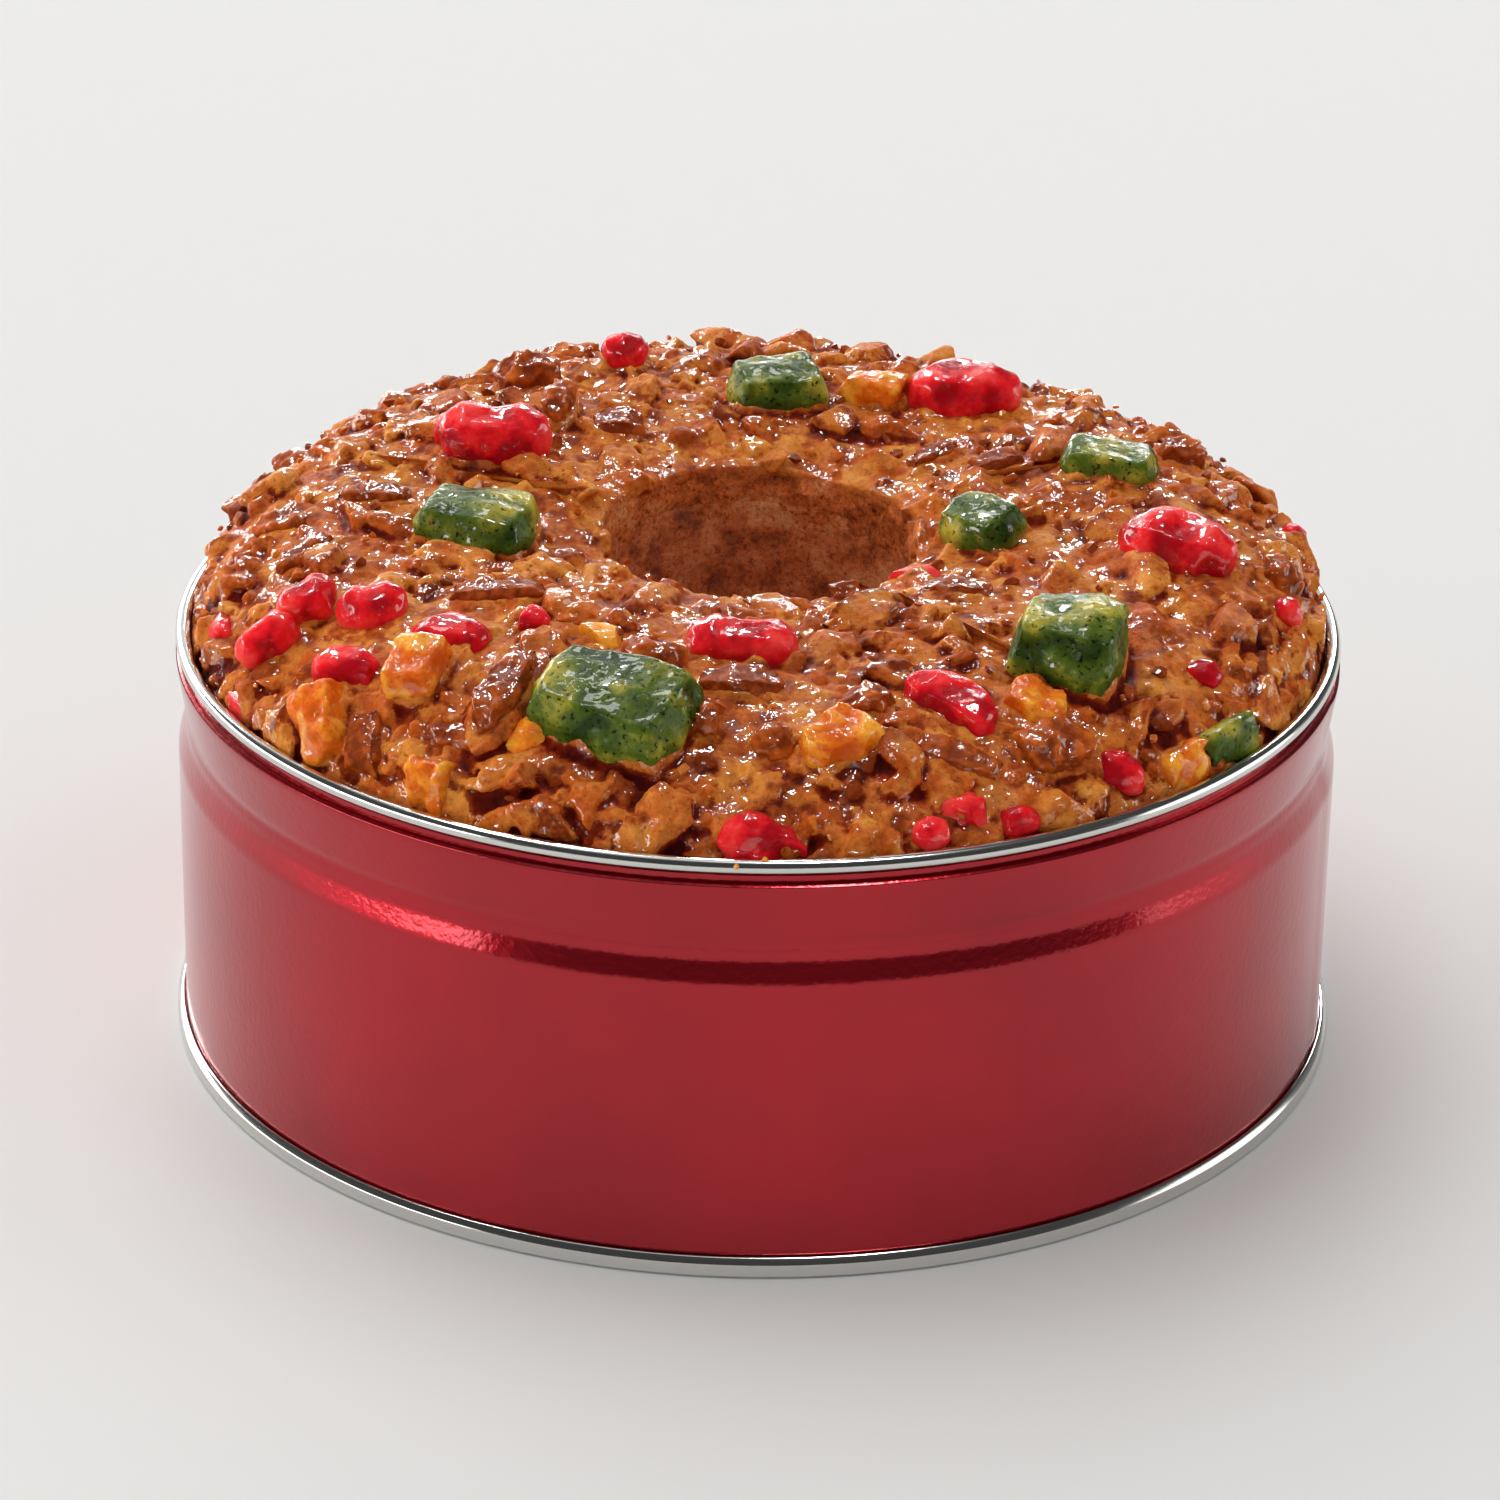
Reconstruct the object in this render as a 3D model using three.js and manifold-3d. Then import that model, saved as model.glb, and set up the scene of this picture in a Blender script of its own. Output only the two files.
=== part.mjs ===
// A ring fruit cake in its own round tin: the tin's wall, rolled rim and seamed base, the
// domed cake with its hole and chopped nuts, and each large piece of fruit and nut on top.
// Millimetres, +Z up, the origin on the ground under the middle of the tin.

import * as THREE from 'three';
import { mergeVertices } from 'three/addons/utils/BufferGeometryUtils.js';
import Module from 'manifold-3d';

const wasm = await Module();
wasm.setup();

// ---- driving dimensions ----

const TIN_RADIUS = 95;       // outside of the wall, and of the rolled rim
const TIN_HEIGHT = 70;       // from the ground to the top of the rim
const SHEET = 0.8;           // thickness of wall and base
const RIM_TUBE = 1.2;        // radius of the rolled rim's round section
const SEAM_RADIUS = 96.5;    // outside of the bottom seam
const SEAM_HEIGHT = 3.4;
const FLOOR_TOP = 3;         // upper face of the tin's base
const BAND_FOOT = 56.3;      // lower end of the lid's band under the rim
const BAND_TAPER = 0.55;     // how far the band draws in at its foot
const GROOVE = 0.5;          // depth of the fine groove under the band
const SHOULDER_TOP = 53.4;
const SHOULDER_FOOT = 49.3;

const CAKE_RADIUS = 91.8;
const CAKE_SIDE = 69;        // height at which the dome starts at the wall
const CAKE_TOP = 86.5;       // crest of the ring
const CREST_RADIUS = 52;
const HOLE_RADIUS = 25.7;
const LIP_HEIGHT = 83.5;     // edge of the hole
const LEAN = 0.045;          // the whole top slopes down to the front by this much
const SWELL = [0.7, 0.5];    // uneven heights round the ring, three and five times round
const SHOULDER_FULLNESS = 0.6;

const GAP = 0.3;             // room between pieces that touch
const TIN_SIDES = 44;
const CAKE_SIDES = 40;
const CHUNK_SPOTS = 125;     // places for chopped nuts; those under fruit stay empty
const CHUNK_LENGTH = [9, 14];
const CHUNK_RISE = [2.5, 4];
const CHUNK_BRINK = 78;      // past this radius they crowd towards the wall
const CHUNK_EDGE = 90.5;     // the outermost ones
const CHUNK_SEED = 11;

const degrees = Math.PI / 180;

// ---- finishes ----

const finish = (color, roughness, metalness = 0) =>
  new THREE.MeshStandardMaterial({ color, roughness, metalness });

const FINISHES = {
  enamel: finish(0xa3303a, 0.35, 0.5),
  tinplate: finish(0xd4d4d0, 0.2, 1),
  cake: finish(0x9c5a26, 0.45),
  cherry: finish(0xc2141c, 0.2),
  green: finish(0x3c5c26, 0.25),
  golden: finish(0xd08620, 0.3),
  nut: finish(0x8c4a1c, 0.3),
};

// ---- the large pieces on top ----
// Each row: bearing from +X, distance from the middle, length, width, rise above the cake
// and the bearing of the long side. Degrees and millimetres.

const CHERRIES = [
  [154, 50, 20, 17, 10, 0],
  [55, 60, 20, 16, 9, 0],
  [351, 68, 20, 15, 8, -20],
  [267, 50, 19, 13, 7, -5],
  [295, 71, 17, 12, 5, -40],
  [271, 90, 16, 11, 4, -30],
  [225, 67, 14, 11, 5, -20],
  [204, 77, 11, 10, 7, 15],
  [211, 70, 12, 10, 6, 10],
  [206, 84, 11, 9, 6, 10],
  [219, 81, 12, 10, 5, -20],
  [111, 66, 9, 9, 7, 0],
  [309, 88, 10, 8, 3, 0],
  [232, 57, 6, 6, 4, 0],
  [195, 88, 10, 6, 3, 90],
  [348, 86, 7, 7, 4, 0],
  [328, 82, 8, 7, 3, -30],
  [9, 88, 7, 5, 4, 90],
  [287, 90, 7, 6, 3, 20],
  [296, 90, 8, 7, 3, 20],
];

const GREEN_FRUIT = [
  [253, 74, 25, 18, 8, -25],
  [314, 69, 18, 18, 10, -15],
  [188, 46, 20, 15, 7, -15],
  [87, 48, 17, 14, 7, 15],
  [17, 60, 17, 11, 5, -10],
  [354, 36, 13, 11, 6, -40],
  [324, 90, 15, 7, 3, 50],
];

const GOLDEN_FRUIT = [
  [228, 77, 12, 9, 6, 70],
  [221, 88, 13, 9, 5, 70],
  [279, 77, 12, 9, 5, 45],
  [69, 54, 12, 9, 5, -20],
  [304, 75, 10, 8, 3, -20],
  [237, 90, 10, 7, 4, 60],
  [317, 90, 12, 7, 3, 40],
];

const PECANS = [
  [219, 52, 19, 9, 5, 0],
  [240, 76, 21, 9, 7, 65],
  [268, 62, 15, 10, 5, 0],
  [292, 81, 17, 8, 3, -20],
  [175, 63, 16, 7, 4, -5],
  [190, 74, 15, 6, 4, 45],
  [321, 40, 15, 8, 4, -15],
  [25, 43, 13, 8, 5, 25],
  [42, 39, 13, 6, 4, 40],
  [228, 89, 16, 9, 4, 65],
  [125, 42, 12, 10, 5, 0],
];

const NUTS = [
  [303, 83, 15, 12, 5, 30],
  [127, 66, 14, 11, 7, 0],
  [132, 51, 13, 7, 7, 80],
  [178, 77, 14, 12, 3, 0],
  [254, 58, 12, 8, 5, -15],
  [284, 68, 12, 7, 4, 35],
  [236, 84, 13, 7, 3, -30],
  [21, 75, 10, 9, 5, 0],
  [354, 84, 9, 9, 5, 0],
  [272, 76, 8, 8, 4, 0],
  [264, 74, 7, 6, 5, 60],
];

// ---- helpers ----

// A closed three.js shape as a solid that can be cut and joined.
function toSolid(geometry) {
  geometry.deleteAttribute('normal');
  geometry.deleteAttribute('uv');
  const merged = mergeVertices(geometry, 1e-4);
  return new wasm.Manifold(new wasm.Mesh({
    numProp: 3,
    vertProperties: Float32Array.from(merged.attributes.position.array),
    triVerts: Uint32Array.from(merged.index.array),
  }));
}

function toGeometry(manifold) {
  const mesh = manifold.getMesh();
  const geometry = new THREE.BufferGeometry();
  geometry.setAttribute('position', new THREE.BufferAttribute(mesh.vertProperties, 3));
  geometry.setIndex(new THREE.BufferAttribute(mesh.triVerts, 1));
  geometry.computeVertexNormals();
  return geometry;
}

// Cutting can leave scraps; the piece itself is the largest body.
function largestBody(manifold) {
  const bodies = manifold.decompose();
  return bodies.reduce((best, body) => (body.volume() > best.volume() ? body : best));
}

function turned(points, sides) {
  const outline = points.map(([radius, height]) => new THREE.Vector2(radius, height));
  return new THREE.LatheGeometry(outline, sides).rotateX(Math.PI / 2);
}

function moveVertices(geometry, move) {
  const position = geometry.attributes.position;
  const point = new THREE.Vector3();
  for (let i = 0; i < position.count; i++) {
    move(point.fromBufferAttribute(position, i));
    position.setXYZ(i, point.x, point.y, point.z);
  }
  return geometry;
}

// ---- the tin ----

function tinWall() {
  const neck = TIN_RADIUS - 2 * RIM_TUBE;
  const top = TIN_HEIGHT - 2 * RIM_TUBE - GAP;
  const foot = FLOOR_TOP + GAP;
  const drawnIn = TIN_RADIUS - BAND_TAPER;
  const outside = [
    [TIN_RADIUS, foot],
    [TIN_RADIUS, SHOULDER_FOOT],
    [drawnIn, SHOULDER_TOP],
    [drawnIn, BAND_FOOT - 1],
    [drawnIn - GROOVE, BAND_FOOT - 0.6],
    [drawnIn, BAND_FOOT],
    [TIN_RADIUS, BAND_FOOT + 5],
    [TIN_RADIUS, top - 1],
    [TIN_RADIUS - 0.8, top],
  ];
  const inside = [
    [neck, top],
    [neck, top - 1.2],
    [drawnIn - SHEET, top - 2],
    [drawnIn - SHEET, BAND_FOOT + 1],
    [drawnIn - GROOVE - SHEET, BAND_FOOT - 0.6],
    [drawnIn - SHEET, SHOULDER_TOP],
    [TIN_RADIUS - SHEET, SHOULDER_FOOT],
    [TIN_RADIUS - SHEET, foot],
  ];
  return turned([...outside, ...inside, outside[0]], TIN_SIDES);
}

function tinRim() {
  const section = [];
  const corners = 8;
  for (let i = 0; i <= corners; i++) {
    const angle = (i / corners) * 2 * Math.PI;
    section.push([
      TIN_RADIUS - RIM_TUBE + RIM_TUBE * Math.cos(angle),
      TIN_HEIGHT - RIM_TUBE + RIM_TUBE * Math.sin(angle),
    ]);
  }
  return turned(section, TIN_SIDES);
}

// A flat disc held up inside the seam, which alone touches the ground.
function tinBase() {
  const lip = TIN_RADIUS + GAP;
  return turned([
    [0, FLOOR_TOP - SHEET],
    [TIN_RADIUS - 3, FLOOR_TOP - SHEET],
    [TIN_RADIUS - 2, 0],
    [SEAM_RADIUS - 0.5, 0],
    [SEAM_RADIUS, 0.5],
    [SEAM_RADIUS, SEAM_HEIGHT - 0.9],
    [lip + 0.4, SEAM_HEIGHT],
    [lip, SEAM_HEIGHT],
    [lip, FLOOR_TOP],
    [0, FLOOR_TOP],
  ], TIN_SIDES);
}

// ---- the cake's own form ----

// Height of the even dome at a distance from the middle.
function crown(radius) {
  if (radius > CREST_RADIUS) {
    const out = Math.min((radius - CREST_RADIUS) / (CAKE_RADIUS - CREST_RADIUS), 1);
    return CAKE_SIDE + (CAKE_TOP - CAKE_SIDE) * (1 - out ** 3) ** SHOULDER_FULLNESS;
  }
  const inward = Math.min((CREST_RADIUS - radius) / (CREST_RADIUS - HOLE_RADIUS), 1);
  return LIP_HEIGHT + (CAKE_TOP - LIP_HEIGHT) * (1 - inward ** 2);
}

// The dome sinks towards the front and is a little uneven round the ring.
function unevenness(x, y) {
  const bearing = Math.atan2(y, x);
  return LEAN * y + SWELL[0] * Math.sin(3 * bearing + 1) + SWELL[1] * Math.sin(5 * bearing);
}

function settledHeight(x, y, height) {
  const share = (height - FLOOR_TOP - GAP) / (CAKE_TOP - FLOOR_TOP - GAP);
  return height + share * unevenness(x, y);
}

function surfaceHeight(x, y) {
  return settledHeight(x, y, crown(Math.hypot(x, y)));
}

function surfaceNormal(x, y) {
  const step = 0.5;
  return new THREE.Vector3(
    surfaceHeight(x - step, y) - surfaceHeight(x + step, y),
    surfaceHeight(x, y - step) - surfaceHeight(x, y + step),
    2 * step,
  ).normalize();
}

// The bare ring. With lift it is the space that pieces on it keep out of.
function bareCake(lift = 0) {
  const side = CAKE_RADIUS + 4 * lift;
  const hole = HOLE_RADIUS - lift;
  const steps = [0, 0.35, 0.65, 0.85, 0.96];
  const dome = steps.slice(1).reverse().map((out) => {
    const radius = CREST_RADIUS + out * (CAKE_RADIUS - CREST_RADIUS);
    return [radius, crown(radius) + lift];
  });
  const lip = [0, 0.5, 0.95].map((inward) => {
    const radius = CREST_RADIUS - inward * (CREST_RADIUS - HOLE_RADIUS);
    return [radius, crown(radius) + lift];
  });
  const foot = FLOOR_TOP + GAP - lift;
  const outline = [
    [hole, foot],
    [side, foot],
    [side, CAKE_SIDE + lift],
    ...dome,
    ...lip,
    [hole, LIP_HEIGHT + lift - 1],
    [hole, foot],
  ];
  return moveVertices(turned(outline, CAKE_SIDES), (point) => {
    point.z = settledHeight(point.x, point.y, point.z);
  });
}

// ---- pieces that lie on the cake ----

// Stands a shape on the cake: its own z along the surface's normal, its x along the turn.
function settle(geometry, bearing, radius, turn) {
  const x = radius * Math.cos(bearing * degrees);
  const y = radius * Math.sin(bearing * degrees);
  const up = surfaceNormal(x, y);
  const along = new THREE.Vector3(Math.cos(turn * degrees), Math.sin(turn * degrees), 0);
  along.addScaledVector(up, -along.dot(up)).normalize();
  const across = new THREE.Vector3().crossVectors(up, along);
  const place = new THREE.Matrix4().makeBasis(along, across, up);
  place.setPosition(x, y, surfaceHeight(x, y));
  return geometry.applyMatrix4(place);
}

// Gives a unit shape its size, with its top at the rise. Grow widens it on every side.
function sized(geometry, [bearing, radius, length, width, rise, turn], depth, grow) {
  geometry.scale(length / 2 + grow, width / 2 + grow, depth / 2 + grow);
  geometry.translate(0, 0, rise - depth / 2);
  return settle(geometry, bearing, radius, turn);
}

// A ball whose poles lie along x, with one row of corners along its top.
function lyingBall(around, along) {
  return new THREE.SphereGeometry(1, around, along).rotateZ(Math.PI / 2).rotateX(Math.PI / 2);
}

// A candied cherry: a flattened ball, creased across the middle when it is a large one.
function cherryShape(row, grow) {
  const [bearing, , length, width] = row;
  const large = length > 10;
  const ball = large ? lyingBall(8, 6) : lyingBall(7, 4);
  moveVertices(ball, (point) => {
    const crease = large ? 0.14 * Math.exp(-((point.x / 0.3) ** 2)) : 0;
    const swell = 0.06 * Math.sin(4 * point.x + 3 * point.y + bearing);
    point.multiplyScalar(1 - crease + swell);
  });
  return sized(ball, row, 0.8 * width, grow);
}

// Cut peel or candied fruit: a block with rounded edges, its upper side a bit smaller.
function blockShape(row, grow) {
  const [bearing, , length, width, rise] = row;
  const cuts = length > 17 ? 3 : 2;
  const block = new THREE.BoxGeometry(2, 2, 2, cuts, cuts, 2);
  const fullness = 5;
  moveVertices(block, (point) => {
    const reach = Math.abs(point.x) ** fullness + Math.abs(point.y) ** fullness
      + Math.abs(point.z) ** fullness;
    point.multiplyScalar(reach ** (-1 / fullness) * (1 + 0.04 * Math.sin(5 * point.x + bearing)));
    point.x *= 1 - 0.08 * point.z;
    point.y *= 1 - 0.1 * point.z + 0.12 * point.x;
    point.z += 0.12 * point.x * Math.cos(bearing);
  });
  return sized(block, row, Math.max(1.3 * rise, 0.5 * width), grow);
}

// Half a pecan: a long oval with a furrow along its back.
function pecanShape(row, grow) {
  const [bearing, , , width] = row;
  const oval = lyingBall(8, 5);
  moveVertices(oval, (point) => {
    const furrow = 0.3 * Math.exp(-((point.y / 0.25) ** 2)) * Math.max(point.z, 0);
    const waist = 0.06 * Math.cos(5 * point.x + bearing);
    point.multiplyScalar(1 - furrow + waist);
  });
  return sized(oval, row, 0.75 * width, grow);
}

// A broken or rounded nut: an uneven lump.
function nutShape(row, grow) {
  const [bearing, , , width] = row;
  const lump = lyingBall(8, 5);
  moveVertices(lump, (point) => {
    point.multiplyScalar(1 + 0.1 * Math.sin(3 * point.x + 2 * point.z + bearing)
      * Math.cos(3 * point.y));
  });
  return sized(lump, row, 0.85 * width, grow);
}

// ---- chopped nuts, fused to the cake ----

let drawn = CHUNK_SEED;
function draw() {
  drawn = (drawn * 16807) % 2147483647;
  return drawn / 2147483647;
}

function drawBetween([least, most]) {
  return least + (most - least) * draw();
}

// Spots on a sunflower spiral, which spreads them evenly, each with a chance size and turn.
// The dome falls away past the brink, where the spiral is drawn in to end at the edge.
function chunkRows() {
  const inner = HOLE_RADIUS + 4;
  const outer = CAKE_RADIUS + 6;
  const goldenTurn = 137.508;
  const rows = [];
  for (let i = 0; i < CHUNK_SPOTS; i++) {
    const share = (i + 0.5) / CHUNK_SPOTS;
    let radius = Math.sqrt(inner ** 2 + share * (outer ** 2 - inner ** 2));
    if (radius > CHUNK_BRINK) {
      const over = (radius - CHUNK_BRINK) / (outer - CHUNK_BRINK);
      radius = CHUNK_BRINK + (CHUNK_EDGE - CHUNK_BRINK) * Math.sin(over * Math.PI / 2);
    }
    const length = drawBetween(CHUNK_LENGTH);
    const width = length * drawBetween([0.5, 0.75]);
    const rise = drawBetween(CHUNK_RISE);
    rows.push([(i * goldenTurn) % 360, radius, length, width, rise, drawBetween([0, 180])]);
  }
  return rows;
}

function chunkShape(row) {
  const chunk = new THREE.SphereGeometry(1, 5, 3);
  const [bearing, , , width] = row;
  moveVertices(chunk, (point) => {
    point.x += 0.25 * point.y * point.z;
    point.z *= 1 + 0.2 * Math.sin(3 * point.x + bearing);
  });
  return sized(chunk, row, 0.8 * width, 0);
}

// ---- assembly ----

const part = new THREE.Group();
part.name = 'fruit_cake_in_tin';

function addPiece(name, geometry, material) {
  const mesh = new THREE.Mesh(geometry, material);
  mesh.name = name;
  part.add(mesh);
}

addPiece('tin_wall', tinWall(), FINISHES.enamel);
addPiece('tin_rim', tinRim(), FINISHES.tinplate);
addPiece('tin_base', tinBase(), FINISHES.tinplate);

const boreRadius = TIN_RADIUS - 2 * RIM_TUBE - GAP;
const bore = toSolid(
  new THREE.CylinderGeometry(boreRadius, boreRadius, 3 * TIN_HEIGHT, TIN_SIDES)
    .rotateX(Math.PI / 2),
);
const cakeRoom = toSolid(bareCake(GAP));

const KINDS = [
  ['green_fruit', GREEN_FRUIT, blockShape, FINISHES.green],
  ['cherry', CHERRIES, cherryShape, FINISHES.cherry],
  ['pecan', PECANS, pecanShape, FINISHES.nut],
  ['golden_fruit', GOLDEN_FRUIT, blockShape, FINISHES.golden],
  ['nut', NUTS, nutShape, FINISHES.nut],
];

// Each piece gives way to those laid before it, to the cake and to the tin's wall.
const rooms = [];
for (const [kind, rows, shape, material] of KINDS) {
  rows.forEach((row, index) => {
    const blocked = rooms.reduce((body, room) => body.subtract(room), toSolid(shape(row, 0)));
    const piece = largestBody(blocked.subtract(cakeRoom).intersect(bore));
    rooms.push(toSolid(shape(row, GAP)));
    const number = String(index + 1).padStart(2, '0');
    addPiece(`${kind}_${number}`, toGeometry(piece), material);
  });
}

// A nut that the fruit would cut into is left out.
const UNCUT = 0.9;
const chunks = [];
for (const row of chunkRows()) {
  const whole = toSolid(chunkShape(row));
  const left = rooms.reduce((body, room) => body.subtract(room), whole);
  if (left.volume() > UNCUT * whole.volume()) chunks.push(left);
}
const cake = chunks.reduce((body, chunk) => body.add(chunk), toSolid(bareCake()));
addPiece('cake', toGeometry(largestBody(cake.intersect(bore))), FINISHES.cake);

export default part;
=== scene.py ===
import math

import bpy
import numpy as np
from bpy.props import FloatProperty, FloatVectorProperty, IntProperty, PointerProperty
from mathutils import Matrix, Vector
from mathutils.bvhtree import BVHTree
from mathutils.kdtree import KDTree


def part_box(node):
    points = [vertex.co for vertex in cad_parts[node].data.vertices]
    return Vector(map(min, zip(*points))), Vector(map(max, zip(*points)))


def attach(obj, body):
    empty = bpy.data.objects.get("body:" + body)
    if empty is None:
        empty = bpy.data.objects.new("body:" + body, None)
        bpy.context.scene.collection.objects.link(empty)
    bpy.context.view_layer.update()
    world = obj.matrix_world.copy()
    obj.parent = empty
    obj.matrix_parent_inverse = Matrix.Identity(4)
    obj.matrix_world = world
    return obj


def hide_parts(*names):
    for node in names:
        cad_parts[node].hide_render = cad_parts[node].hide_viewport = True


bl_info = {
    "name": "Ring fruit cake in a tin",
    "version": (1, 0, 0),
    "blender": (4, 5, 0),
    "location": "View3D > Sidebar > Fruit cake",
    "description": "Makes the finished surfaces of a ring fruit cake and its red tin",
    "category": "Object",
}

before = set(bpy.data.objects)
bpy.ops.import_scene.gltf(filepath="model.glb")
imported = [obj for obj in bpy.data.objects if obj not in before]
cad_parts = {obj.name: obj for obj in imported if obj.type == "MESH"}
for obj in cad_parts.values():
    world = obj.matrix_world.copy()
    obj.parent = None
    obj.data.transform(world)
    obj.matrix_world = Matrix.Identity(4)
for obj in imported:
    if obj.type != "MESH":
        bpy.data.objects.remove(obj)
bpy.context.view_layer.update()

MM = 0.001
RIM_LOW, RIM_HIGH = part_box("tin_rim")
BASE_LOW, BASE_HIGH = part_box("tin_base")
TOPPINGS = sorted(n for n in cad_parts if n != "cake" and not n.startswith("tin_"))


def linear(hex_colour):
    """An sRGB hex colour, such as a01a24, as linear red, green and blue."""
    channels = [int(hex_colour[i : i + 2], 16) / 255 for i in (0, 2, 4)]
    return tuple(c / 12.92 if c <= 0.04045 else ((c + 0.055) / 1.055) ** 2.4 for c in channels)


def length(name, description, default):
    """A size in metres that the panel shows in the scene's own units."""
    return FloatProperty(
        name=name, description=description, default=default, precision=4, subtype="DISTANCE",
        unit="LENGTH",
    )


def colour(name, description, hex_colour):
    """A colour that the panel shows as a swatch."""
    return FloatVectorProperty(
        name=name, description=description, default=linear(hex_colour), min=0, max=1,
        size=3, subtype="COLOR",
    )


def amount(name, description, default):
    return FloatProperty(name=name, description=description, default=default)


def count(name, description, default):
    return IntProperty(name=name, description=description, default=default, min=1)


class TinProperties(bpy.types.PropertyGroup):
    radius: length("Radius", "Outside of the wall and of the rolled rim", RIM_HIGH.x)
    height: length("Height", "From the ground to the top of the rim", RIM_HIGH.z)
    rim_tube: length("Rim tube", "Radius of the rolled rim", (RIM_HIGH.z - RIM_LOW.z) / 2)
    sheet: length("Sheet", "Thickness of the wall and the base", 0.8 * MM)
    seam_radius: length("Seam radius", "Outside of the bottom seam", BASE_HIGH.x)
    seam_height: length("Seam height", "Top of the bottom seam", BASE_HIGH.z)
    floor_top: length("Floor", "Upper face of the base", 3 * MM)
    band_foot: length("Band foot", "Lower end of the band under the rim", 56.3 * MM)
    band_taper: length("Band taper", "How far the band draws in at its foot", 1.3 * MM)
    groove: length("Groove", "Depth of the fine groove under the band", 0.35 * MM)
    shoulder_top: length("Shoulder top", "Upper end of the wall's shoulder", 53.4 * MM)
    shoulder_foot: length("Shoulder foot", "Lower end of the wall's shoulder", 49.3 * MM)
    lacquer: colour("Lacquer", "Red lacquer over the tinplate", "b21222")
    tinplate: colour("Tinplate", "Bare rim and bottom seam", "dcdcd8")


class CakeProperties(bpy.types.PropertyGroup):
    radius: length("Radius", "Outside of the ring, inside the tin", 91.8 * MM)
    side: length("Side", "Height at which the dome starts at the wall", 69 * MM)
    top: length("Top", "Crest of the ring", 86.5 * MM)
    crest_radius: length("Crest radius", "Distance of the crest from the middle", 52 * MM)
    hole_radius: length("Hole radius", "Radius of the hole", 25.7 * MM)
    lip_height: length("Lip height", "Edge of the hole", 83.5 * MM)
    foot: length("Foot", "Underside of the cake, on the tin's floor", 3.3 * MM)
    lean: amount("Lean", "Slope of the whole top down to the front", 0.045)
    fullness: amount("Fullness", "How full the dome's outer shoulder is", 0.6)
    batter_dark: colour("Batter, dark", "Baked batter in the hollows", "9a4420")
    batter: colour("Batter", "Baked batter between the nuts", "d86e2c")
    batter_light: colour("Batter, light", "Light crumbs of batter", "ee964c")
    amber: colour("Amber", "Golden batter soaked with syrup", "e08c34")


class NutProperties(bpy.types.PropertyGroup):
    spots: count("Large spots", "Places for the large chopped nuts", 125)
    seed: count("Seed", "Start of the large nuts' draw", 11)
    medium: count("Medium nuts", "Nuts of 6 to 12 mm in the crust", 650)
    small: count("Small nuts", "Nuts of 2.5 to 5.5 mm in the crust", 1100)
    crumbs: count("Crumbs", "Fine bits stuck on the glaze", 500)
    swell: length("Swell", "How far the batter stands over the even dome", 0.3 * MM)
    grain: length("Grain", "Fineness of the crust's surface", 0.4 * MM)
    # On the dressed pecans and nuts the dark skin also serves as painted shade in the dips of the
    # relief, and the kernel as painted light on its rises.
    skin_dark: colour("Skin, dark", "Deep brown of toasted skins", "86350e")
    skin: colour("Skin", "Toasted pecan skin", "c85e1b")
    kernel: colour("Kernel", "Broken faces and pale kernels", "e89a40")


class FruitProperties(bpy.types.PropertyGroup):
    # The deep colours also serve as painted shade in the dips of each piece's relief, and the light
    # ones as painted light on its rises. Otherwise they vary in random clouds.
    cherry: colour("Cherry", "Candied cherry", "ea1c26")
    cherry_deep: colour("Cherry, deep", "Thick and shaded cherry flesh", "b00c1a")
    cherry_light: colour("Cherry, light", "Thin cherry flesh with the light in it", "fc4a44")
    green: colour("Green", "Candied green fruit", "56681c")
    green_deep: colour("Green, deep", "Thick green flesh", "283e10")
    green_light: colour("Green, light", "Thin and yellowish green fruit", "b8a83a")
    golden: colour("Golden", "Candied golden fruit", "e87218")
    golden_deep: colour("Golden, deep", "Thick golden flesh", "d65c12")
    golden_light: colour("Golden, light", "Sugared edges of golden fruit", "fca832")


class StageProperties(bpy.types.PropertyGroup):
    camera: FloatVectorProperty(
        name="Camera", description="Place of the camera",
        default=(0, -0.82553, 0.42216), subtype="XYZ_LENGTH", unit="LENGTH",
    )
    target: FloatVectorProperty(
        name="Target", description="Point that the camera looks at",
        default=(-0.00105, 0, 0.04496), subtype="XYZ_LENGTH", unit="LENGTH",
    )
    roll: FloatProperty(
        name="Roll", description="Turn of the camera about its own axis",
        default=0.0151337, subtype="ANGLE", unit="ROTATION",
    )
    lens: FloatProperty(
        name="Lens", description="Focal length on a 36 mm sensor", default=131.6,
        subtype="DISTANCE_CAMERA",
    )
    floor: colour("Floor", "Pale seamless table", "dedddb")
    bank_side: amount("Bank, side", "Sideways share of the way to the long softbox", -0.16)
    bank: amount("Bank, overhead", "Brightness of the long softbox overhead", 0.5)
    bank_low: amount("Bank, behind", "Brightness of its end low behind the table", 9.0)
    sweep: amount("Sweep", "Brightness of the lit sweep behind", 0.15)
    room: amount("Room", "Brightness of the dark room", 0.05)
    key: amount("Key", "Strength of the large soft light overhead and behind", 0.95)
    fill: amount("Fill", "Strength of the broad soft fill", 1.5)
    left: amount("Left softbox", "Brightness of the low softbox at the left", 5.0)
    right: amount("Right softbox", "Strength of the smaller light low at the right", 0.85)
    spark: amount("Sparks", "Strength of each small lamp, which only the gloss shows", 1.1)


# ---- modelling helpers ----

def deselect():
    """Leaves nothing selected, as an operator acts on all that is."""
    if bpy.context.mode != "OBJECT":
        bpy.ops.object.mode_set(mode="OBJECT")
    bpy.ops.object.select_all(action="DESELECT")


def choose(obj):
    deselect()
    obj.select_set(True)
    bpy.context.view_layer.objects.active = obj


def edit(obj):
    """Opens a mesh for editing with all of it selected. Choosing an object closes it again."""
    choose(obj)
    bpy.ops.object.mode_set(mode="EDIT")
    bpy.ops.mesh.select_all(action="SELECT")


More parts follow.
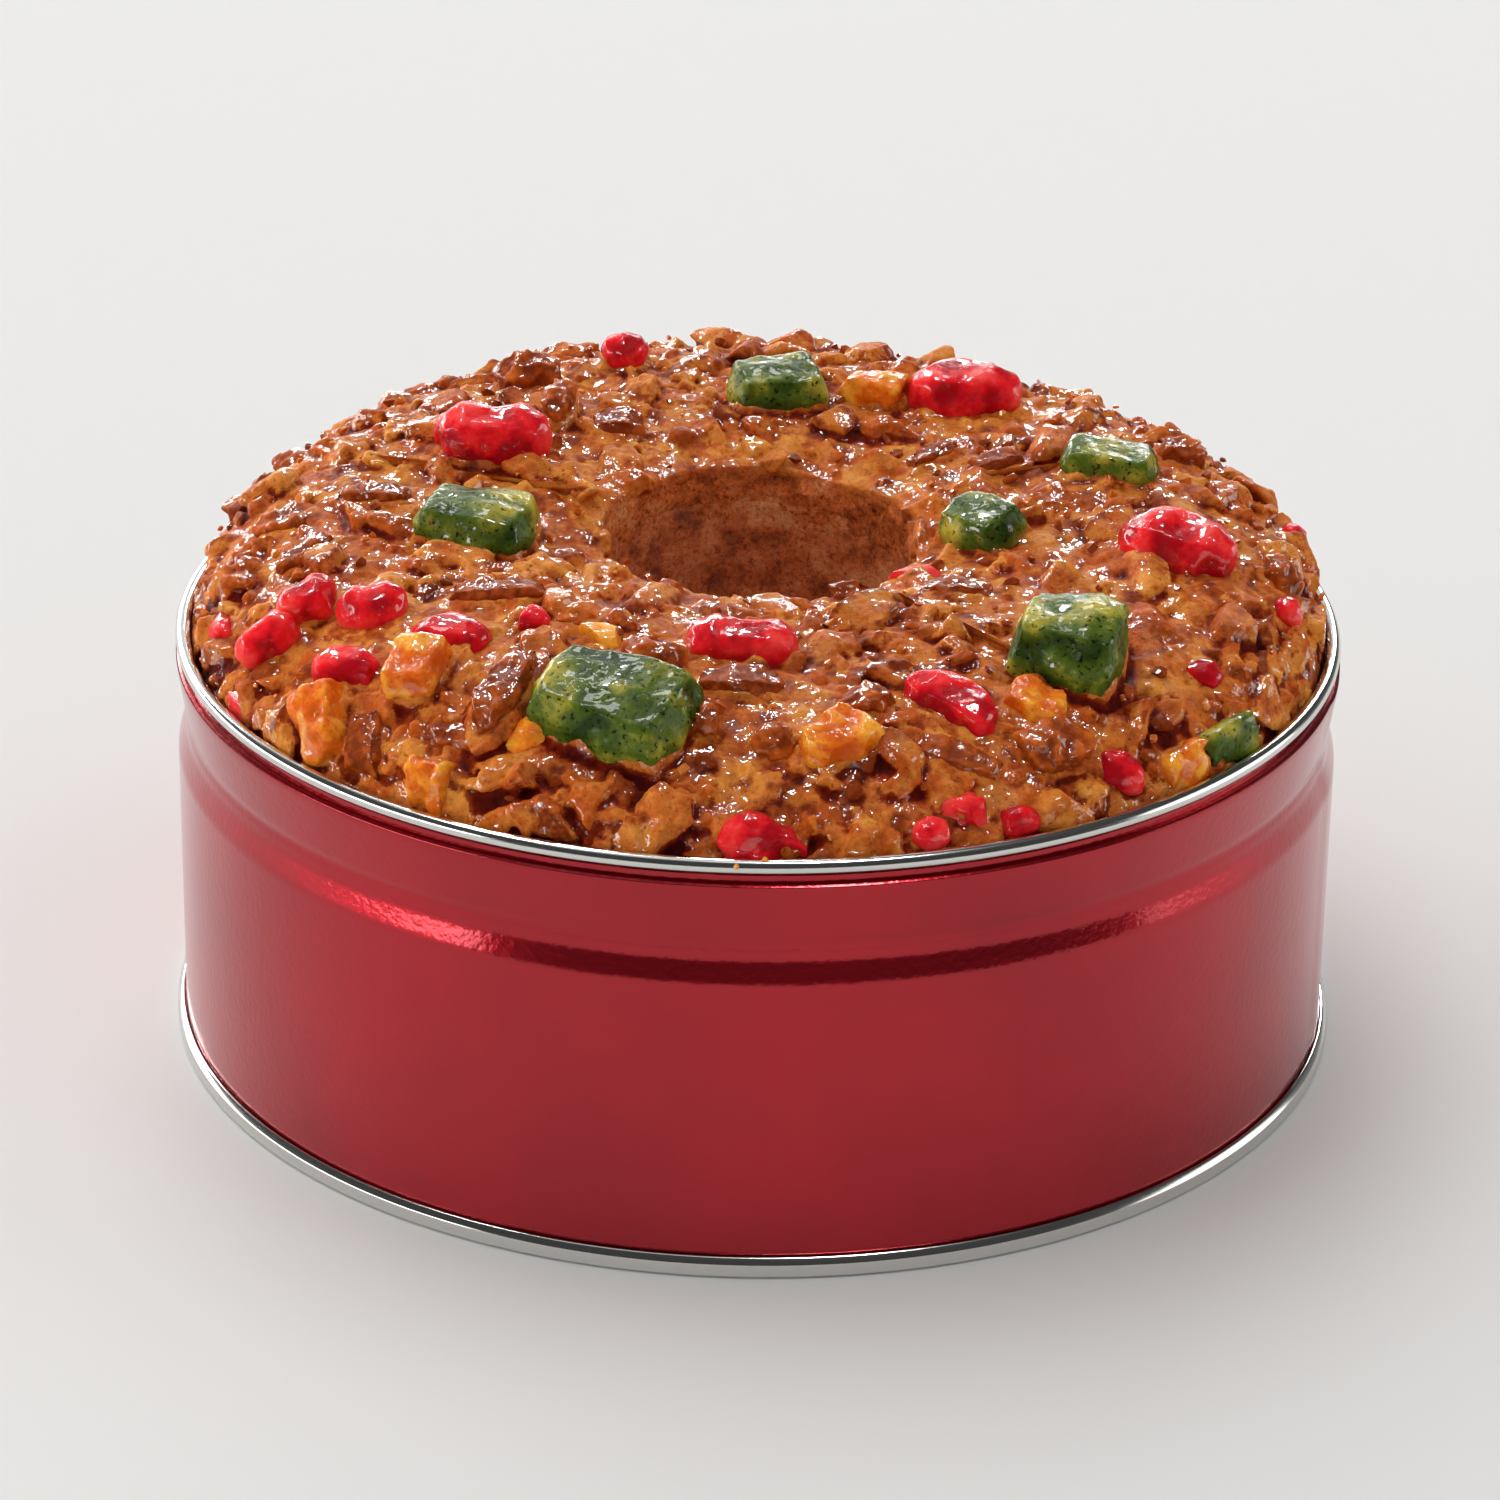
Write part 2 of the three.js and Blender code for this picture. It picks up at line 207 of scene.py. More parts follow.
def copied(source, name):
    obj = bpy.data.objects.new(name, source.data.copy())
    bpy.context.scene.collection.objects.link(obj)
    return obj


def added(name):
    """The object that an operator has just added, under its own name."""
    obj = bpy.context.active_object
    obj.name = name
    return obj


def modify(obj, kind, **settings):
    """Adds a modifier and applies it."""
    modifier = obj.modifiers.new(kind, kind)
    for name, value in settings.items():
        setattr(modifier, name, value)
    choose(obj)
    bpy.ops.object.modifier_apply(modifier=modifier.name)


def relief(obj, kind, size, depth, **settings):
    """Presses a solid pattern with features of that size into the surface."""
    texture = bpy.data.textures.new(kind, kind)
    texture.noise_scale = size
    for name, value in settings.items():
        setattr(texture, name, value)
    modify(obj, "DISPLACE", texture=texture, strength=depth, mid_level=0.5)


def clouds(obj, size_mm, depth_mm, detail):
    relief(obj, "CLOUDS", size_mm * MM, depth_mm * MM, noise_depth=detail)


def points_of(obj):
    points = np.empty(3 * len(obj.data.vertices), np.float32)
    obj.data.vertices.foreach_get("co", points)
    return points.reshape(-1, 3).astype(float)


def triangles_of(obj):
    obj.data.calc_loop_triangles()
    corners = np.empty(3 * len(obj.data.loop_triangles), np.int32)
    obj.data.loop_triangles.foreach_get("vertices", corners)
    return corners.reshape(-1, 3)


def move_points(obj, points):
    obj.data.vertices.foreach_set("co", points.astype(np.float32).ravel())
    obj.data.update()


def mesh_object(name, points, faces):
    mesh = bpy.data.meshes.new(name)
    mesh.from_pydata(points.tolist(), [], faces.tolist())
    obj = bpy.data.objects.new(name, mesh)
    bpy.context.scene.collection.objects.link(obj)
    return obj


def mark(obj, name, values):
    """Stores one number for each vertex, which a material reads."""
    attribute = obj.data.attributes.new(name, "FLOAT", "POINT")
    attribute.data.foreach_set("value", np.asarray(values, np.float32))


def joined(shapes):
    """Many shapes as one: points, triangles and which shape each point belongs to."""
    points, triangles, owner = [], [], []
    start = 0
    for i, (shape, faces) in enumerate(shapes):
        points.append(shape)
        triangles.append(faces + start)
        owner.append(np.full(len(shape), i))
        start += len(shape)
    return np.concatenate(points), np.concatenate(triangles), np.concatenate(owner)


def turned(name, outline, sides):
    """Spins a closed outline of (radius, height) once round the upright axis."""
    deselect()
    bpy.ops.mesh.primitive_circle_add(vertices=len(outline), fill_type="NOTHING")
    obj = added(name)
    move_points(obj, np.array([(radius, 0, height) for radius, height in outline]))
    edit(obj)
    bpy.ops.mesh.spin(steps=sides, angle=math.tau, center=(0, 0, 0), axis=(0, 0, 1))
    bpy.ops.mesh.select_all(action="SELECT")
    bpy.ops.mesh.remove_doubles(threshold=0.001 * MM)
    bpy.ops.mesh.normals_make_consistent(inside=False)
    choose(obj)
    return obj


def smooth_faces(obj, angle):
    choose(obj)
    bpy.ops.object.shade_smooth_by_angle(angle=math.radians(angle))


def finish_piece(obj, material, slot, *nodes):
    """Gives a piece its material and its body, and hides the imported nodes that it stands for. Its
    slot is not used.
    """
    obj.data.materials.clear()
    obj.data.materials.append(material)
    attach(obj, "root")
    if nodes:
        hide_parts(*nodes)
    return obj


# ---- materials ----

MIX_A, MIX_B, MIX_RESULT = 6, 7, 2      # colour sockets of a Mix node


def cells(size_mm):
    """Scale of a pattern on Object coordinates whose features are that large."""
    return 1 / (size_mm * MM)


def add_node(tree, kind, settings=()):
    """Adds a node. Settings name its sockets, its properties or a ramp's stops. A socket
    takes a value or another node's output."""
    node = tree.nodes.new(kind)
    for name, value in dict(settings).items():
        if name == "stops":
            ramp = node.color_ramp.elements
            while len(ramp) < len(value):
                ramp.new(0.5)
            for stop, (position, rgb) in zip(ramp, value):
                stop.position = position
                stop.color = (*(linear(rgb) if isinstance(rgb, str) else rgb), 1)
        elif isinstance(value, bpy.types.NodeSocket):
            tree.links.new(node.inputs[name], value)
        elif isinstance(name, int) or name in node.inputs:
            node.inputs[name].default_value = value
        else:
            setattr(node, name, value)
    return node


def new_material(name, **shader):
    """A material with its own shader, whose constant sockets are given by name."""
    material = bpy.data.materials.new(name)
    material.use_nodes = True
    principled = material.node_tree.nodes["Principled BSDF"]
    for socket, value in shader.items():
        principled.inputs[socket_name(socket)].default_value = value
    return material, material.node_tree, principled


def socket_name(name):
    return name.replace("_", " ").title().replace("Ior", "IOR")


def feed(tree, shader, **sources):
    """Links the outputs of other nodes to the shader's sockets, given by name."""
    for socket, source in sources.items():
        tree.links.new(shader.inputs[socket_name(socket)], source)


def object_place(tree):
    return add_node(tree, "ShaderNodeTexCoord").outputs["Object"]


def mark_of(tree, name):
    """The number that a mesh stores for each vertex under that name."""
    return add_node(tree, "ShaderNodeAttribute", {"attribute_name": name}).outputs["Fac"]


def noise(tree, place, size_mm, detail, **settings):
    """A cloudy pattern from 0 to 1 with features of that size."""
    settings = {"Scale": cells(size_mm), "Detail": detail, "Vector": place, **settings}
    return add_node(tree, "ShaderNodeTexNoise", settings).outputs["Fac"]


def remapped(tree, value, low, high, start=0.0, end=1.0):
    """Stretches low to high over start to end, and holds the value there."""
    limits = {"From Min": low, "From Max": high, "To Min": start, "To Max": end}
    return add_node(tree, "ShaderNodeMapRange", {**limits, "Value": value}).outputs["Result"]


def maths(tree, operation, *values):
    settings = {"operation": operation, **dict(enumerate(values))}
    return add_node(tree, "ShaderNodeMath", settings).outputs[0]


def tinted(tree, level, *stops):
    """Turns a level into a colour, by stops of a level and a colour each."""
    return add_node(tree, "ShaderNodeValToRGB", {"stops": stops, "Fac": level}).outputs["Color"]


def blended(tree, share, first, second, blend="MIX"):
    """Lays the second colour on the first by that share."""
    settings = {"data_type": "RGBA", "blend_type": blend, 0: share, MIX_A: first, MIX_B: second}
    return add_node(tree, "ShaderNodeMix", settings).outputs[MIX_RESULT]


def bumped(tree, height, distance_mm, strength):
    settings = {"Height": height, "Distance": distance_mm * MM, "Strength": strength}
    return add_node(tree, "ShaderNodeBump", settings).outputs["Normal"]


# Under a glaze the bare surface hardly shines; the glaze is the shader's coat.
GLAZE = {"specular_ior_level": 0.05, "coat_weight": 1.0, "coat_roughness": 0.02}


def glaze_film(tree, place, size_mm, dry, level):
    """How much of the syrup film is left: it runs into patches with clear edges."""
    pooled = noise(tree, place, size_mm, 3.0, Distortion=0.8)
    return remapped(tree, pooled, level, level + 0.03, dry, 1.0)


def rippled_glaze(tree, place, size_mm, depth_mm):
    """Surface of set syrup: sleek in some places, finely wrinkled in others."""
    wrinkle = noise(tree, place, size_mm, 1.0, Distortion=0.5)
    share = remapped(tree, noise(tree, place, 5 * size_mm, 2.0), 0.48, 0.6, 0.12, 1.0)
    return bumped(tree, wrinkle, depth_mm, share)


def lacquered_tinplate(tin):
    """Clear red lacquer baked on tinplate: a deep metallic red with fine orange peel."""
    material, tree, shader = new_material(
        "red_lacquered_tinplate", metallic=0.82, roughness=0.22, coat_weight=0.55,
        coat_roughness=0.08,
    )
    place = object_place(tree)
    deep = tuple(0.8 * c for c in tin.lacquer)
    shade = tinted(tree, noise(tree, place, 40, 3.0), (0.35, deep), (0.65, tin.lacquer))
    peel = bumped(tree, noise(tree, place, 1.1, 2.0), 0.07, 0.7)
    feed(tree, shader, base_color=shade, normal=peel, coat_normal=peel)
    return material


def bare_tinplate(tin):
    """Tinplate left bare at the rolled edges: bright, with fine drawing lines."""
    material, tree, shader = new_material(
        "bare_tinplate", metallic=1.0, roughness=0.16, base_color=(*tin.tinplate, 1),
    )
    drawn_out = {"Scale": (0.06, 0.06, 1), "Vector": object_place(tree)}
    place = add_node(tree, "ShaderNodeMapping", drawn_out).outputs["Vector"]
    feed(tree, shader, normal=bumped(tree, noise(tree, place, 0.25, 3.0), 0.02, 0.15))
    return material


def crumb_colour(tree, place):
    """Open crumb of a moist fruit cake: patchy, with light grains and dark pores."""
    mottle = noise(tree, place, 7, 8.0, Roughness=0.7)
    grain = noise(tree, place, 0.9, 4.0, Roughness=0.8)
    body = tinted(tree, mottle, (0.36, "944820"), (0.52, "ec8444"), (0.68, "fcb478"))
    pores = tinted(tree, grain, (0.34, "a87454"), (0.46, "f0e8e0"), (0.56, "ffffff"))
    return blended(tree, 1.0, body, pores, "MULTIPLY"), grain


def glazed_crust(cake, nuts):
    """Baked batter packed with chopped pecans under a thick clear sugar glaze.

    The glaze is the coat, smooth over grainy batter and sleeker nuts. Where the crust is torn
    open at the hole it is bare crumb. Its hollows and creases are darkened with painted shade."""
    material, tree, shader = new_material(
        "sugar_glazed_pecan_crust", roughness=0.5, coat_ior=1.9, subsurface_weight=0.25,
        subsurface_radius=(1.0, 0.35, 0.1), subsurface_scale=1.5 * MM, **GLAZE,
    )
    place = object_place(tree)
    nut, tone, height, fold, bare = (
        mark_of(tree, name) for name in ("nut", "tone", "height", "fold", "bare")
    )
    mottle = noise(tree, place, 5, 8.0, Roughness=0.7)
    grain = noise(tree, place, 0.8, 5.0, Roughness=0.7)
    batter = tinted(
        tree, mottle, (0.36, cake.batter_dark), (0.5, cake.batter), (0.62, cake.batter_light),
    )
    soaked = remapped(tree, noise(tree, place, 9, 3.0), 0.45, 0.6, 0, 0.75)
    batter = blended(tree, soaked, batter, (*cake.amber, 1))
    toasted = maths(tree, "ADD", tone, maths(tree, "MULTIPLY_ADD", mottle, 1.4, -0.7))
    skin = tinted(tree, toasted, (0.0, nuts.skin_dark), (0.5, nuts.skin), (1.0, nuts.kernel))
    body = blended(tree, nut, batter, skin)
    body = blended(tree, bare, body, crumb_colour(tree, place)[0])
    # Painted shade: the colour darkens where the crust lies below what is round it, broadly
    # (height) and closely (fold). The grain adds the batter's own dark pores.
    painted_shade_and_pores = (
        tinted(tree, height, (0.12, "a05c34"), (0.3, "d0986c"), (0.42, "ffffff")),
        tinted(tree, fold, (0.15, "b07860"), (0.42, "ffffff")),
        tinted(tree, grain, (0.31, "a8785c"), (0.42, "f0e8e4"), (0.6, "ffffff")),
    )
    for shade in painted_shade_and_pores:
        body = blended(tree, 1.0, body, shade, "MULTIPLY")
    film = glaze_film(tree, place, 3.5, 0.0, 0.54)
    film = maths(tree, "MULTIPLY", film, remapped(tree, height, 0.2, 0.45))
    film = maths(tree, "MULTIPLY", film, remapped(tree, bare, 1.0, 0.0))
    feed(
        tree, shader, base_color=body, coat_weight=film,
        normal=bumped(tree, grain, 0.45, remapped(tree, nut, 0, 1, 1.0, 0.35)),
        coat_normal=rippled_glaze(tree, place, 1.4, 0.6),
    )
    return material


def cake_crumb():
    """Moist fruit cake cut by its baking tube: matt, open crumb with dark specks."""
    material, tree, shader = new_material(
        "moist_cake_crumb", roughness=0.75, subsurface_weight=0.15,
        subsurface_radius=(1.0, 0.4, 0.15), subsurface_scale=1.5 * MM,
    )
    body, grain = crumb_colour(tree, object_place(tree))
    feed(tree, shader, base_color=body, normal=bumped(tree, grain, 0.6, 0.9))
    return material


def glazed_nut(nuts):
    """Toasted pecan pieces under sugar glaze: streaked brown skins and paler breaks. On the
    dressed pieces the dark skin is painted shade in the dips and the pale kernel painted light
    on the rises.
    """
    material, tree, shader = new_material(
        "sugar_glazed_pecan", roughness=0.42, coat_ior=1.8, subsurface_weight=0.12,
        subsurface_radius=(1.0, 0.4, 0.15), subsurface_scale=1.5 * MM, **GLAZE,
    )
    place = object_place(tree)
    streak = noise(tree, place, 1.6, 5.0, Distortion=0.6)
    # Tone and painted relief shade: random for heaps and crumbs, and on dressed pieces darker in
    # the dips and paler on the rises.
    toasted = maths(
        tree, "ADD", mark_of(tree, "tone"), maths(tree, "MULTIPLY_ADD", streak, 0.9, -0.55),
    )
    feed(
        tree, shader,
        base_color=tinted(
            tree, toasted, (0.0, nuts.skin_dark), (0.45, nuts.skin), (1.0, nuts.kernel),
        ),
        normal=bumped(tree, noise(tree, place, 0.7, 4.0), 0.3, 0.5),
        coat_normal=rippled_glaze(tree, place, 1.5, 0.45),
        coat_weight=glaze_film(tree, place, 3.0, 0.0, 0.5),
    )
    return material


def candied_flesh(name, colours, size_mm, wrinkle_mm, wet, pitted, **shader_settings):
    """Fruit boiled in syrup: clear glossy flesh, its colour deeper and lighter in clouds, with
    painted shade in the dips of its relief and painted light on its rises.
    """
    material, tree, shader = new_material(
        name, roughness=0.3, coat_ior=1.75, **GLAZE, **shader_settings,
    )
    place = object_place(tree)
    cloud = noise(tree, place, size_mm, 5.0, Roughness=0.6)
    # The relief mark paints shade in the dips and light on the rises of the flesh.
    ridge = maths(tree, "MULTIPLY_ADD", mark_of(tree, "tone"), 0.5, -0.25)
    flesh = tinted(tree, maths(tree, "ADD", cloud, ridge), *zip((0.34, 0.5, 0.68), colours))
    grain = noise(tree, place, 0.8, 4.0)
    pits = tinted(tree, grain, (0.34, "706050"), (0.42, "ffffff"))
    feed(
        tree, shader,
        base_color=blended(tree, pitted, flesh, pits, "MULTIPLY"),
        normal=bumped(tree, grain, 0.3, 0.6),
        coat_normal=rippled_glaze(tree, place, wrinkle_mm, 0.4),
        coat_weight=glaze_film(tree, place, 4.0, 0.1, 1 - wet),
    )
    return material


# ---- the tin ----

GAP = 0.3 * MM      # room between pieces that touch
TIN_SIDES = 256
RIM_CORNERS = 20
BEND = 0.6 * MM     # how far each bend of the wall is rolled soft
SEAM_BEARING = -14  # degrees from the x axis
SEAM_RISE = 0.2 * MM


def wall_bends(tin):
    """Heights and outer radii of the wall from the shoulder to the band, each bend rolled soft."""
    drawn_in = tin.radius - tin.band_taper
    corners = [
        (tin.shoulder_foot, tin.radius),
        (tin.shoulder_top, drawn_in),
        (tin.band_foot - 1.8 * MM, drawn_in),
        (tin.band_foot - 0.8 * MM, drawn_in - tin.groove),
        (tin.band_foot + 0.2 * MM, drawn_in),
        (tin.band_foot + 9 * MM, tin.radius),
    ]
    heights = np.arange(tin.shoulder_foot - 1 * MM, tin.band_foot + 10 * MM, 0.45 * MM)
    levels, radii = zip(*corners)
    shifts = np.linspace(-BEND, BEND, 7)
    return heights, np.mean([np.interp(heights + shift, levels, radii) for shift in shifts], axis=0)


def make_tin_wall(tin, material):
    neck = tin.radius - 2 * tin.rim_tube
    top = tin.height - 2 * tin.rim_tube - GAP
    foot = tin.floor_top + GAP
    heights, radii = wall_bends(tin)
    outside = [
        (tin.radius, foot),
        *zip(radii, heights),
        (tin.radius, top - 1.8 * MM),
        (tin.radius - 0.15 * MM, top - 1.4 * MM),
        (tin.radius - 0.5 * MM, top - 1.15 * MM),
        (tin.radius - 1.2 * MM, top - 1.1 * MM),
        (tin.radius - 1.2 * MM, top),
    ]
    inside = [
        (neck, top),
        (neck, top - 1.2 * MM),
        *zip(radii[::-1] - tin.sheet, heights[::-1]),
        (tin.radius - tin.sheet, foot),
    ]
    wall = turned("lacquered_wall", outside + inside, TIN_SIDES)
    lap_side_seam(tin, wall)
    smooth_faces(wall, 30)
    return finish_piece(wall, material, "enamel", "tin_wall")


def lap_side_seam(tin, wall):
    """The sheet's two ends lap in an upright seam, a slight ridge with one crisp edge."""
    points = points_of(wall)
    bearing = np.degrees(np.arctan2(points[:, 1], points[:, 0])) - SEAM_BEARING
    ridge = np.interp(bearing, (-1.5, 0, 2, 7), (0, 1, 1, 0)) * SEAM_RISE
    points[:, :2] *= (1 + ridge / tin.radius)[:, None]
    move_points(wall, points)


def make_tin_rim(tin, material):
    turns = [math.tau * i / RIM_CORNERS for i in range(RIM_CORNERS)]
    section = [
        (
            tin.radius - tin.rim_tube + tin.rim_tube * math.cos(turn),
            tin.height - tin.rim_tube + tin.rim_tube * math.sin(turn),
        )
        for turn in turns
    ]
    rim = turned("rolled_rim", section, TIN_SIDES)
    smooth_faces(rim, 60)
    return finish_piece(rim, material, "tinplate", "tin_rim")


def make_tin_base(tin, material):
    lip = tin.radius + GAP
    outline = [
        (0, tin.floor_top - tin.sheet),
        (tin.radius - 3 * MM, tin.floor_top - tin.sheet),
        (tin.radius - 2 * MM, 0),
        (tin.seam_radius - 0.5 * MM, 0),
        (tin.seam_radius, 0.5 * MM),
        (tin.seam_radius, tin.seam_height - 0.9 * MM),
        (lip + 0.4 * MM, tin.seam_height),
        (lip, tin.seam_height),
        (lip, tin.floor_top),
        (0, tin.floor_top),
    ]
    base = turned("seamed_base", outline, TIN_SIDES)
    modify(
        base, "BEVEL", width=0.2 * MM, segments=3, limit_method="ANGLE",
        angle_limit=math.radians(25),
    )
    smooth_faces(base, 30)
    return finish_piece(base, material, "tinplate", "tin_base")


# ---- the cake's own form ----

def crown(cake, radius):
    """Height of the even dome at a distance from the middle."""
    out = np.clip((radius - cake.crest_radius) / (cake.radius - cake.crest_radius), 0, 1)
    inward = np.clip((cake.crest_radius - radius) / (cake.crest_radius - cake.hole_radius), 0, 1)
    outer = cake.side + (cake.top - cake.side) * (1 - out**3) ** cake.fullness
    inner = cake.lip_height + (cake.top - cake.lip_height) * (1 - inward**2)
    return np.where(radius > cake.crest_radius, outer, inner)


def unevenness(cake, x, y):
    """The dome sinks towards the front and is a little uneven round the ring."""
    bearing = np.arctan2(y, x)
    return cake.lean * y + (0.7 * np.sin(3 * bearing + 1) + 0.5 * np.sin(5 * bearing)) * MM


def settled_height(cake, x, y, height):
    """The unevenness grows from nothing at the foot to its full size at the top."""
    share = (height - cake.foot) / (cake.top - cake.foot)
    return height + share * unevenness(cake, x, y)


def surface_height(cake, x, y):
    return settled_height(cake, x, y, crown(cake, np.hypot(x, y)))


def surface_normal(cake, x, y):
    step = 0.5 * MM     # between the heights that are compared
    slope_x = surface_height(cake, x - step, y) - surface_height(cake, x + step, y)
    slope_y = surface_height(cake, x, y - step) - surface_height(cake, x, y + step)
    normal = np.stack([slope_x, slope_y, np.full_like(slope_x, 2 * step)], -1)
    return normal / np.linalg.norm(normal, axis=-1, keepdims=True)


def settle_ring(cake, ring):
    points = points_of(ring)
    points[:, 2] = settled_height(cake, points[:, 0], points[:, 1], points[:, 2])
    move_points(ring, points)


def kept_in_tin(cake, points):
    """Draws points that would stand in the rim or the hole back to the cake."""
    radius = np.hypot(points[:, 0], points[:, 1])
    limit = cake.radius + 0.5 * MM
    kept = np.clip(radius, cake.hole_radius - 1.5 * MM, limit)
    points[:, :2] *= (kept / np.maximum(radius, 1e-9))[:, None]
    return points


# ---- chopped nuts ----

def chopped_nut(seed, faces, cuts, lobes):
    """A lobed lump with flat broken faces, as points from -1 to 1 and triangles."""
    draw = np.random.default_rng(seed)
    deselect()
    place = Vector((10.0 * seed, 0, 0))     # a patch of the pattern of its own
    bpy.ops.mesh.primitive_ico_sphere_add(subdivisions=4, radius=1, location=place)
    nut = added("nut_template")
    bpy.ops.object.transform_apply(location=True, rotation=True, scale=True)
    relief(nut, "CLOUDS", 0.9, lobes, noise_depth=1)
    edit(nut)
    for _ in range(cuts):
        direction = Vector(draw.normal(size=3)).normalized()
        bpy.ops.mesh.select_all(action="SELECT")
        bpy.ops.mesh.bisect(
            plane_co=place + direction * draw.uniform(0.4, 0.75), plane_no=direction,
            use_fill=True, clear_outer=True,
        )
    bpy.ops.mesh.select_all(action="SELECT")
    bpy.ops.mesh.quads_convert_to_tris()
    choose(nut)
    modify(nut, "DECIMATE", ratio=faces / len(triangles_of(nut)))
    points, triangles = points_of(nut), triangles_of(nut)
    low, high = points.min(0), points.max(0)
    bpy.data.objects.remove(nut)
    return (2 * points - low - high) / (high - low), triangles


def nut_shapes(number, faces, seed):
    """Two angular nuts for each lobed one, by their cuts and the depth of their lobes."""
    kinds = [(2, 1.0), (7, 0.4), (6, 0.6)]
    return [chopped_nut(seed + i, faces, *kinds[i % len(kinds)]) for i in range(number)]


def bases(cake, x, y, turn, tilt, tilt_bearing):
    """For each spot the directions along, across and up, as columns."""
    up = surface_normal(cake, x, y)
    up[:, 0] += tilt * np.cos(tilt_bearing)
    up[:, 1] += tilt * np.sin(tilt_bearing)
    up /= np.linalg.norm(up, axis=1, keepdims=True)
    along = np.stack([np.cos(turn), np.sin(turn), np.zeros_like(turn)], -1)
    along -= up * np.sum(along * up, axis=1, keepdims=True)
    along /= np.linalg.norm(along, axis=1, keepdims=True)
    return np.stack([along, np.cross(up, along), up], -1)


def heap(cake, shapes, spots):
    """Sets a shape down at each spot. Spots are rows of x, y, length, width, depth, rise,
    turn, tilt and tilt bearing. Returns points, triangles and each point's spot."""
    x, y, _, _, depth, rise, *lie = spots.T
    turns = bases(cake, x, y, *lie)
    centre = np.stack([x, y, surface_height(cake, x, y)], -1)
    centre += turns[:, :, 2] * (rise - depth / 2)[:, None]
    placed = []
    for i, size in enumerate(spots[:, 2:5]):
        shape, faces = shapes[i % len(shapes)]
        placed.append(((shape * size / 2) @ turns[i].T + centre[i], faces))
    points, triangles, owner = joined(placed)
    return kept_in_tin(cake, points), triangles, owner


GOLDEN_TURN = math.radians(137.508)


def spiral(cake, number, reach, shift=0.0):
    """Bearings and radii on a sunflower spiral, which spreads them evenly over the dome.
    The dome falls away past the brink, where the spiral is drawn in to end at the edge."""
    index = np.arange(number)
    inner, outer = cake.hole_radius + reach, cake.radius + 6 * MM
    brink, edge = 78 * MM, 90.5 * MM
    radius = np.sqrt(inner**2 + (index + 0.5) / number * (outer**2 - inner**2))
    over = (radius - brink) / (outer - brink)
    drawn = brink + (edge - brink) * np.sin(np.clip(over, 0, 1) * math.pi / 2)
    return index * GOLDEN_TURN + shift, np.where(radius > brink, drawn, radius)


def large_nut_spots(cake, nuts):
    """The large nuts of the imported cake, drawn by the same rule as there."""
    drawn = nuts.seed

    def draw(least, most):
        nonlocal drawn
        drawn = (drawn * 16807) % 2147483647
        return least + (most - least) * drawn / 2147483647

    bearings, radii = spiral(cake, nuts.spots, 4 * MM)
    spots = []
    for bearing, radius in zip(bearings, radii):
        long = draw(9, 14) * MM
        wide = long * draw(0.5, 0.75)
        rise = draw(2.5, 4) * MM
        turn = math.radians(draw(0, 180))
        place = (radius * math.cos(bearing), radius * math.sin(bearing))
        spots.append((*place, long, wide, 0.8 * wide, rise, turn, 0, 0))
    return np.array(spots)


def solid_tree(*nodes):
    solids = [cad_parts[node] for node in nodes]
    points, triangles, _ = joined([(points_of(s), triangles_of(s)) for s in solids])
    return BVHTree.FromPolygons(points.tolist(), triangles.tolist())


def is_in_packed_cake(cake, spots):
    """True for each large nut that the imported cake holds, so that its top is met there."""
    solid = solid_tree("cake")
    bare = surface_height(cake, spots[:, 0], spots[:, 1])
    found = []
    for spot, height in zip(spots, bare):
        hit = solid.ray_cast(Vector((spot[0], spot[1], 1)), Vector((0, 0, -1)))[0]
        found.append(hit is not None and hit.z > height + 0.4 * spot[5])
    return np.array(found)


def clear_of_toppings(cake, spots, share):
    """True for each spot whose nut keeps that share of its length away from the fruit."""
    tree = solid_tree(*TOPPINGS)
    heights = surface_height(cake, spots[:, 0], spots[:, 1]) + 1 * MM
    clear = []
    for spot, height in zip(spots, heights):
        place = Vector((spot[0], spot[1], height))
        hit, normal, _, distance = tree.find_nearest(place)
        inside = (place - hit).dot(normal) < 0
        clear.append(not inside and distance > share * spot[2])
    return np.array(clear)


def small_nut_spots(cake, number, seed, sizes, rises):
    """Smaller nuts spread by the same spiral, each moved, turned and tilted by chance. Sizes
    and rises are the least and the most, in mm."""
    draw = np.random.default_rng(seed)
    bearing, radius = spiral(cake, number, 2 * MM, shift=seed)
    x = radius * np.cos(bearing) + draw.normal(0, 1.6 * MM, number)
    y = radius * np.sin(bearing) + draw.normal(0, 1.6 * MM, number)
    least, most = (size * MM for size in sizes)
    long = least + (most - least) * draw.random(number) ** 1.6
    wide = long * draw.uniform(0.5, 0.85, number)
    deep = wide * draw.uniform(0.7, 1.1, number)
    rise = draw.uniform(*(rise * MM for rise in rises), number)
    turn = draw.uniform(0, math.tau, number)
    tilt = draw.uniform(0, 1.4, number)
    tilt_bearing = draw.uniform(0, math.tau, number)
    return np.stack([x, y, long, wide, deep, rise, turn, tilt, tilt_bearing], -1)


def sunk_nuts(cake, nuts):
    """All the nuts that are baked into the crust: large ones, then smaller ones between."""
    large = large_nut_spots(cake, nuts)
    large = large[is_in_packed_cake(cake, large)]
    medium = small_nut_spots(cake, nuts.medium, seed=3, sizes=(6, 12), rises=(-0.8, 2.7))
    small = small_nut_spots(cake, nuts.small, seed=8, sizes=(2.5, 5.5), rises=(-0.6, 1.8))
    rest = np.concatenate([medium, small])
    rise = rest[:, 5]
    low = np.minimum(rise, 0.8 * MM)    # beside fruit, which stays in sight
    rest[:, 5] = np.where(clear_of_toppings(cake, rest, 0.4), rise, low)
    shapes = nut_shapes(12, faces=150, seed=100)
    return heap(cake, shapes, np.concatenate([large, rest]))


COLLAR_WIDTH = 1.16     # of the piece's own width
COLLAR_HEIGHT = 0.35    # of the piece's own height


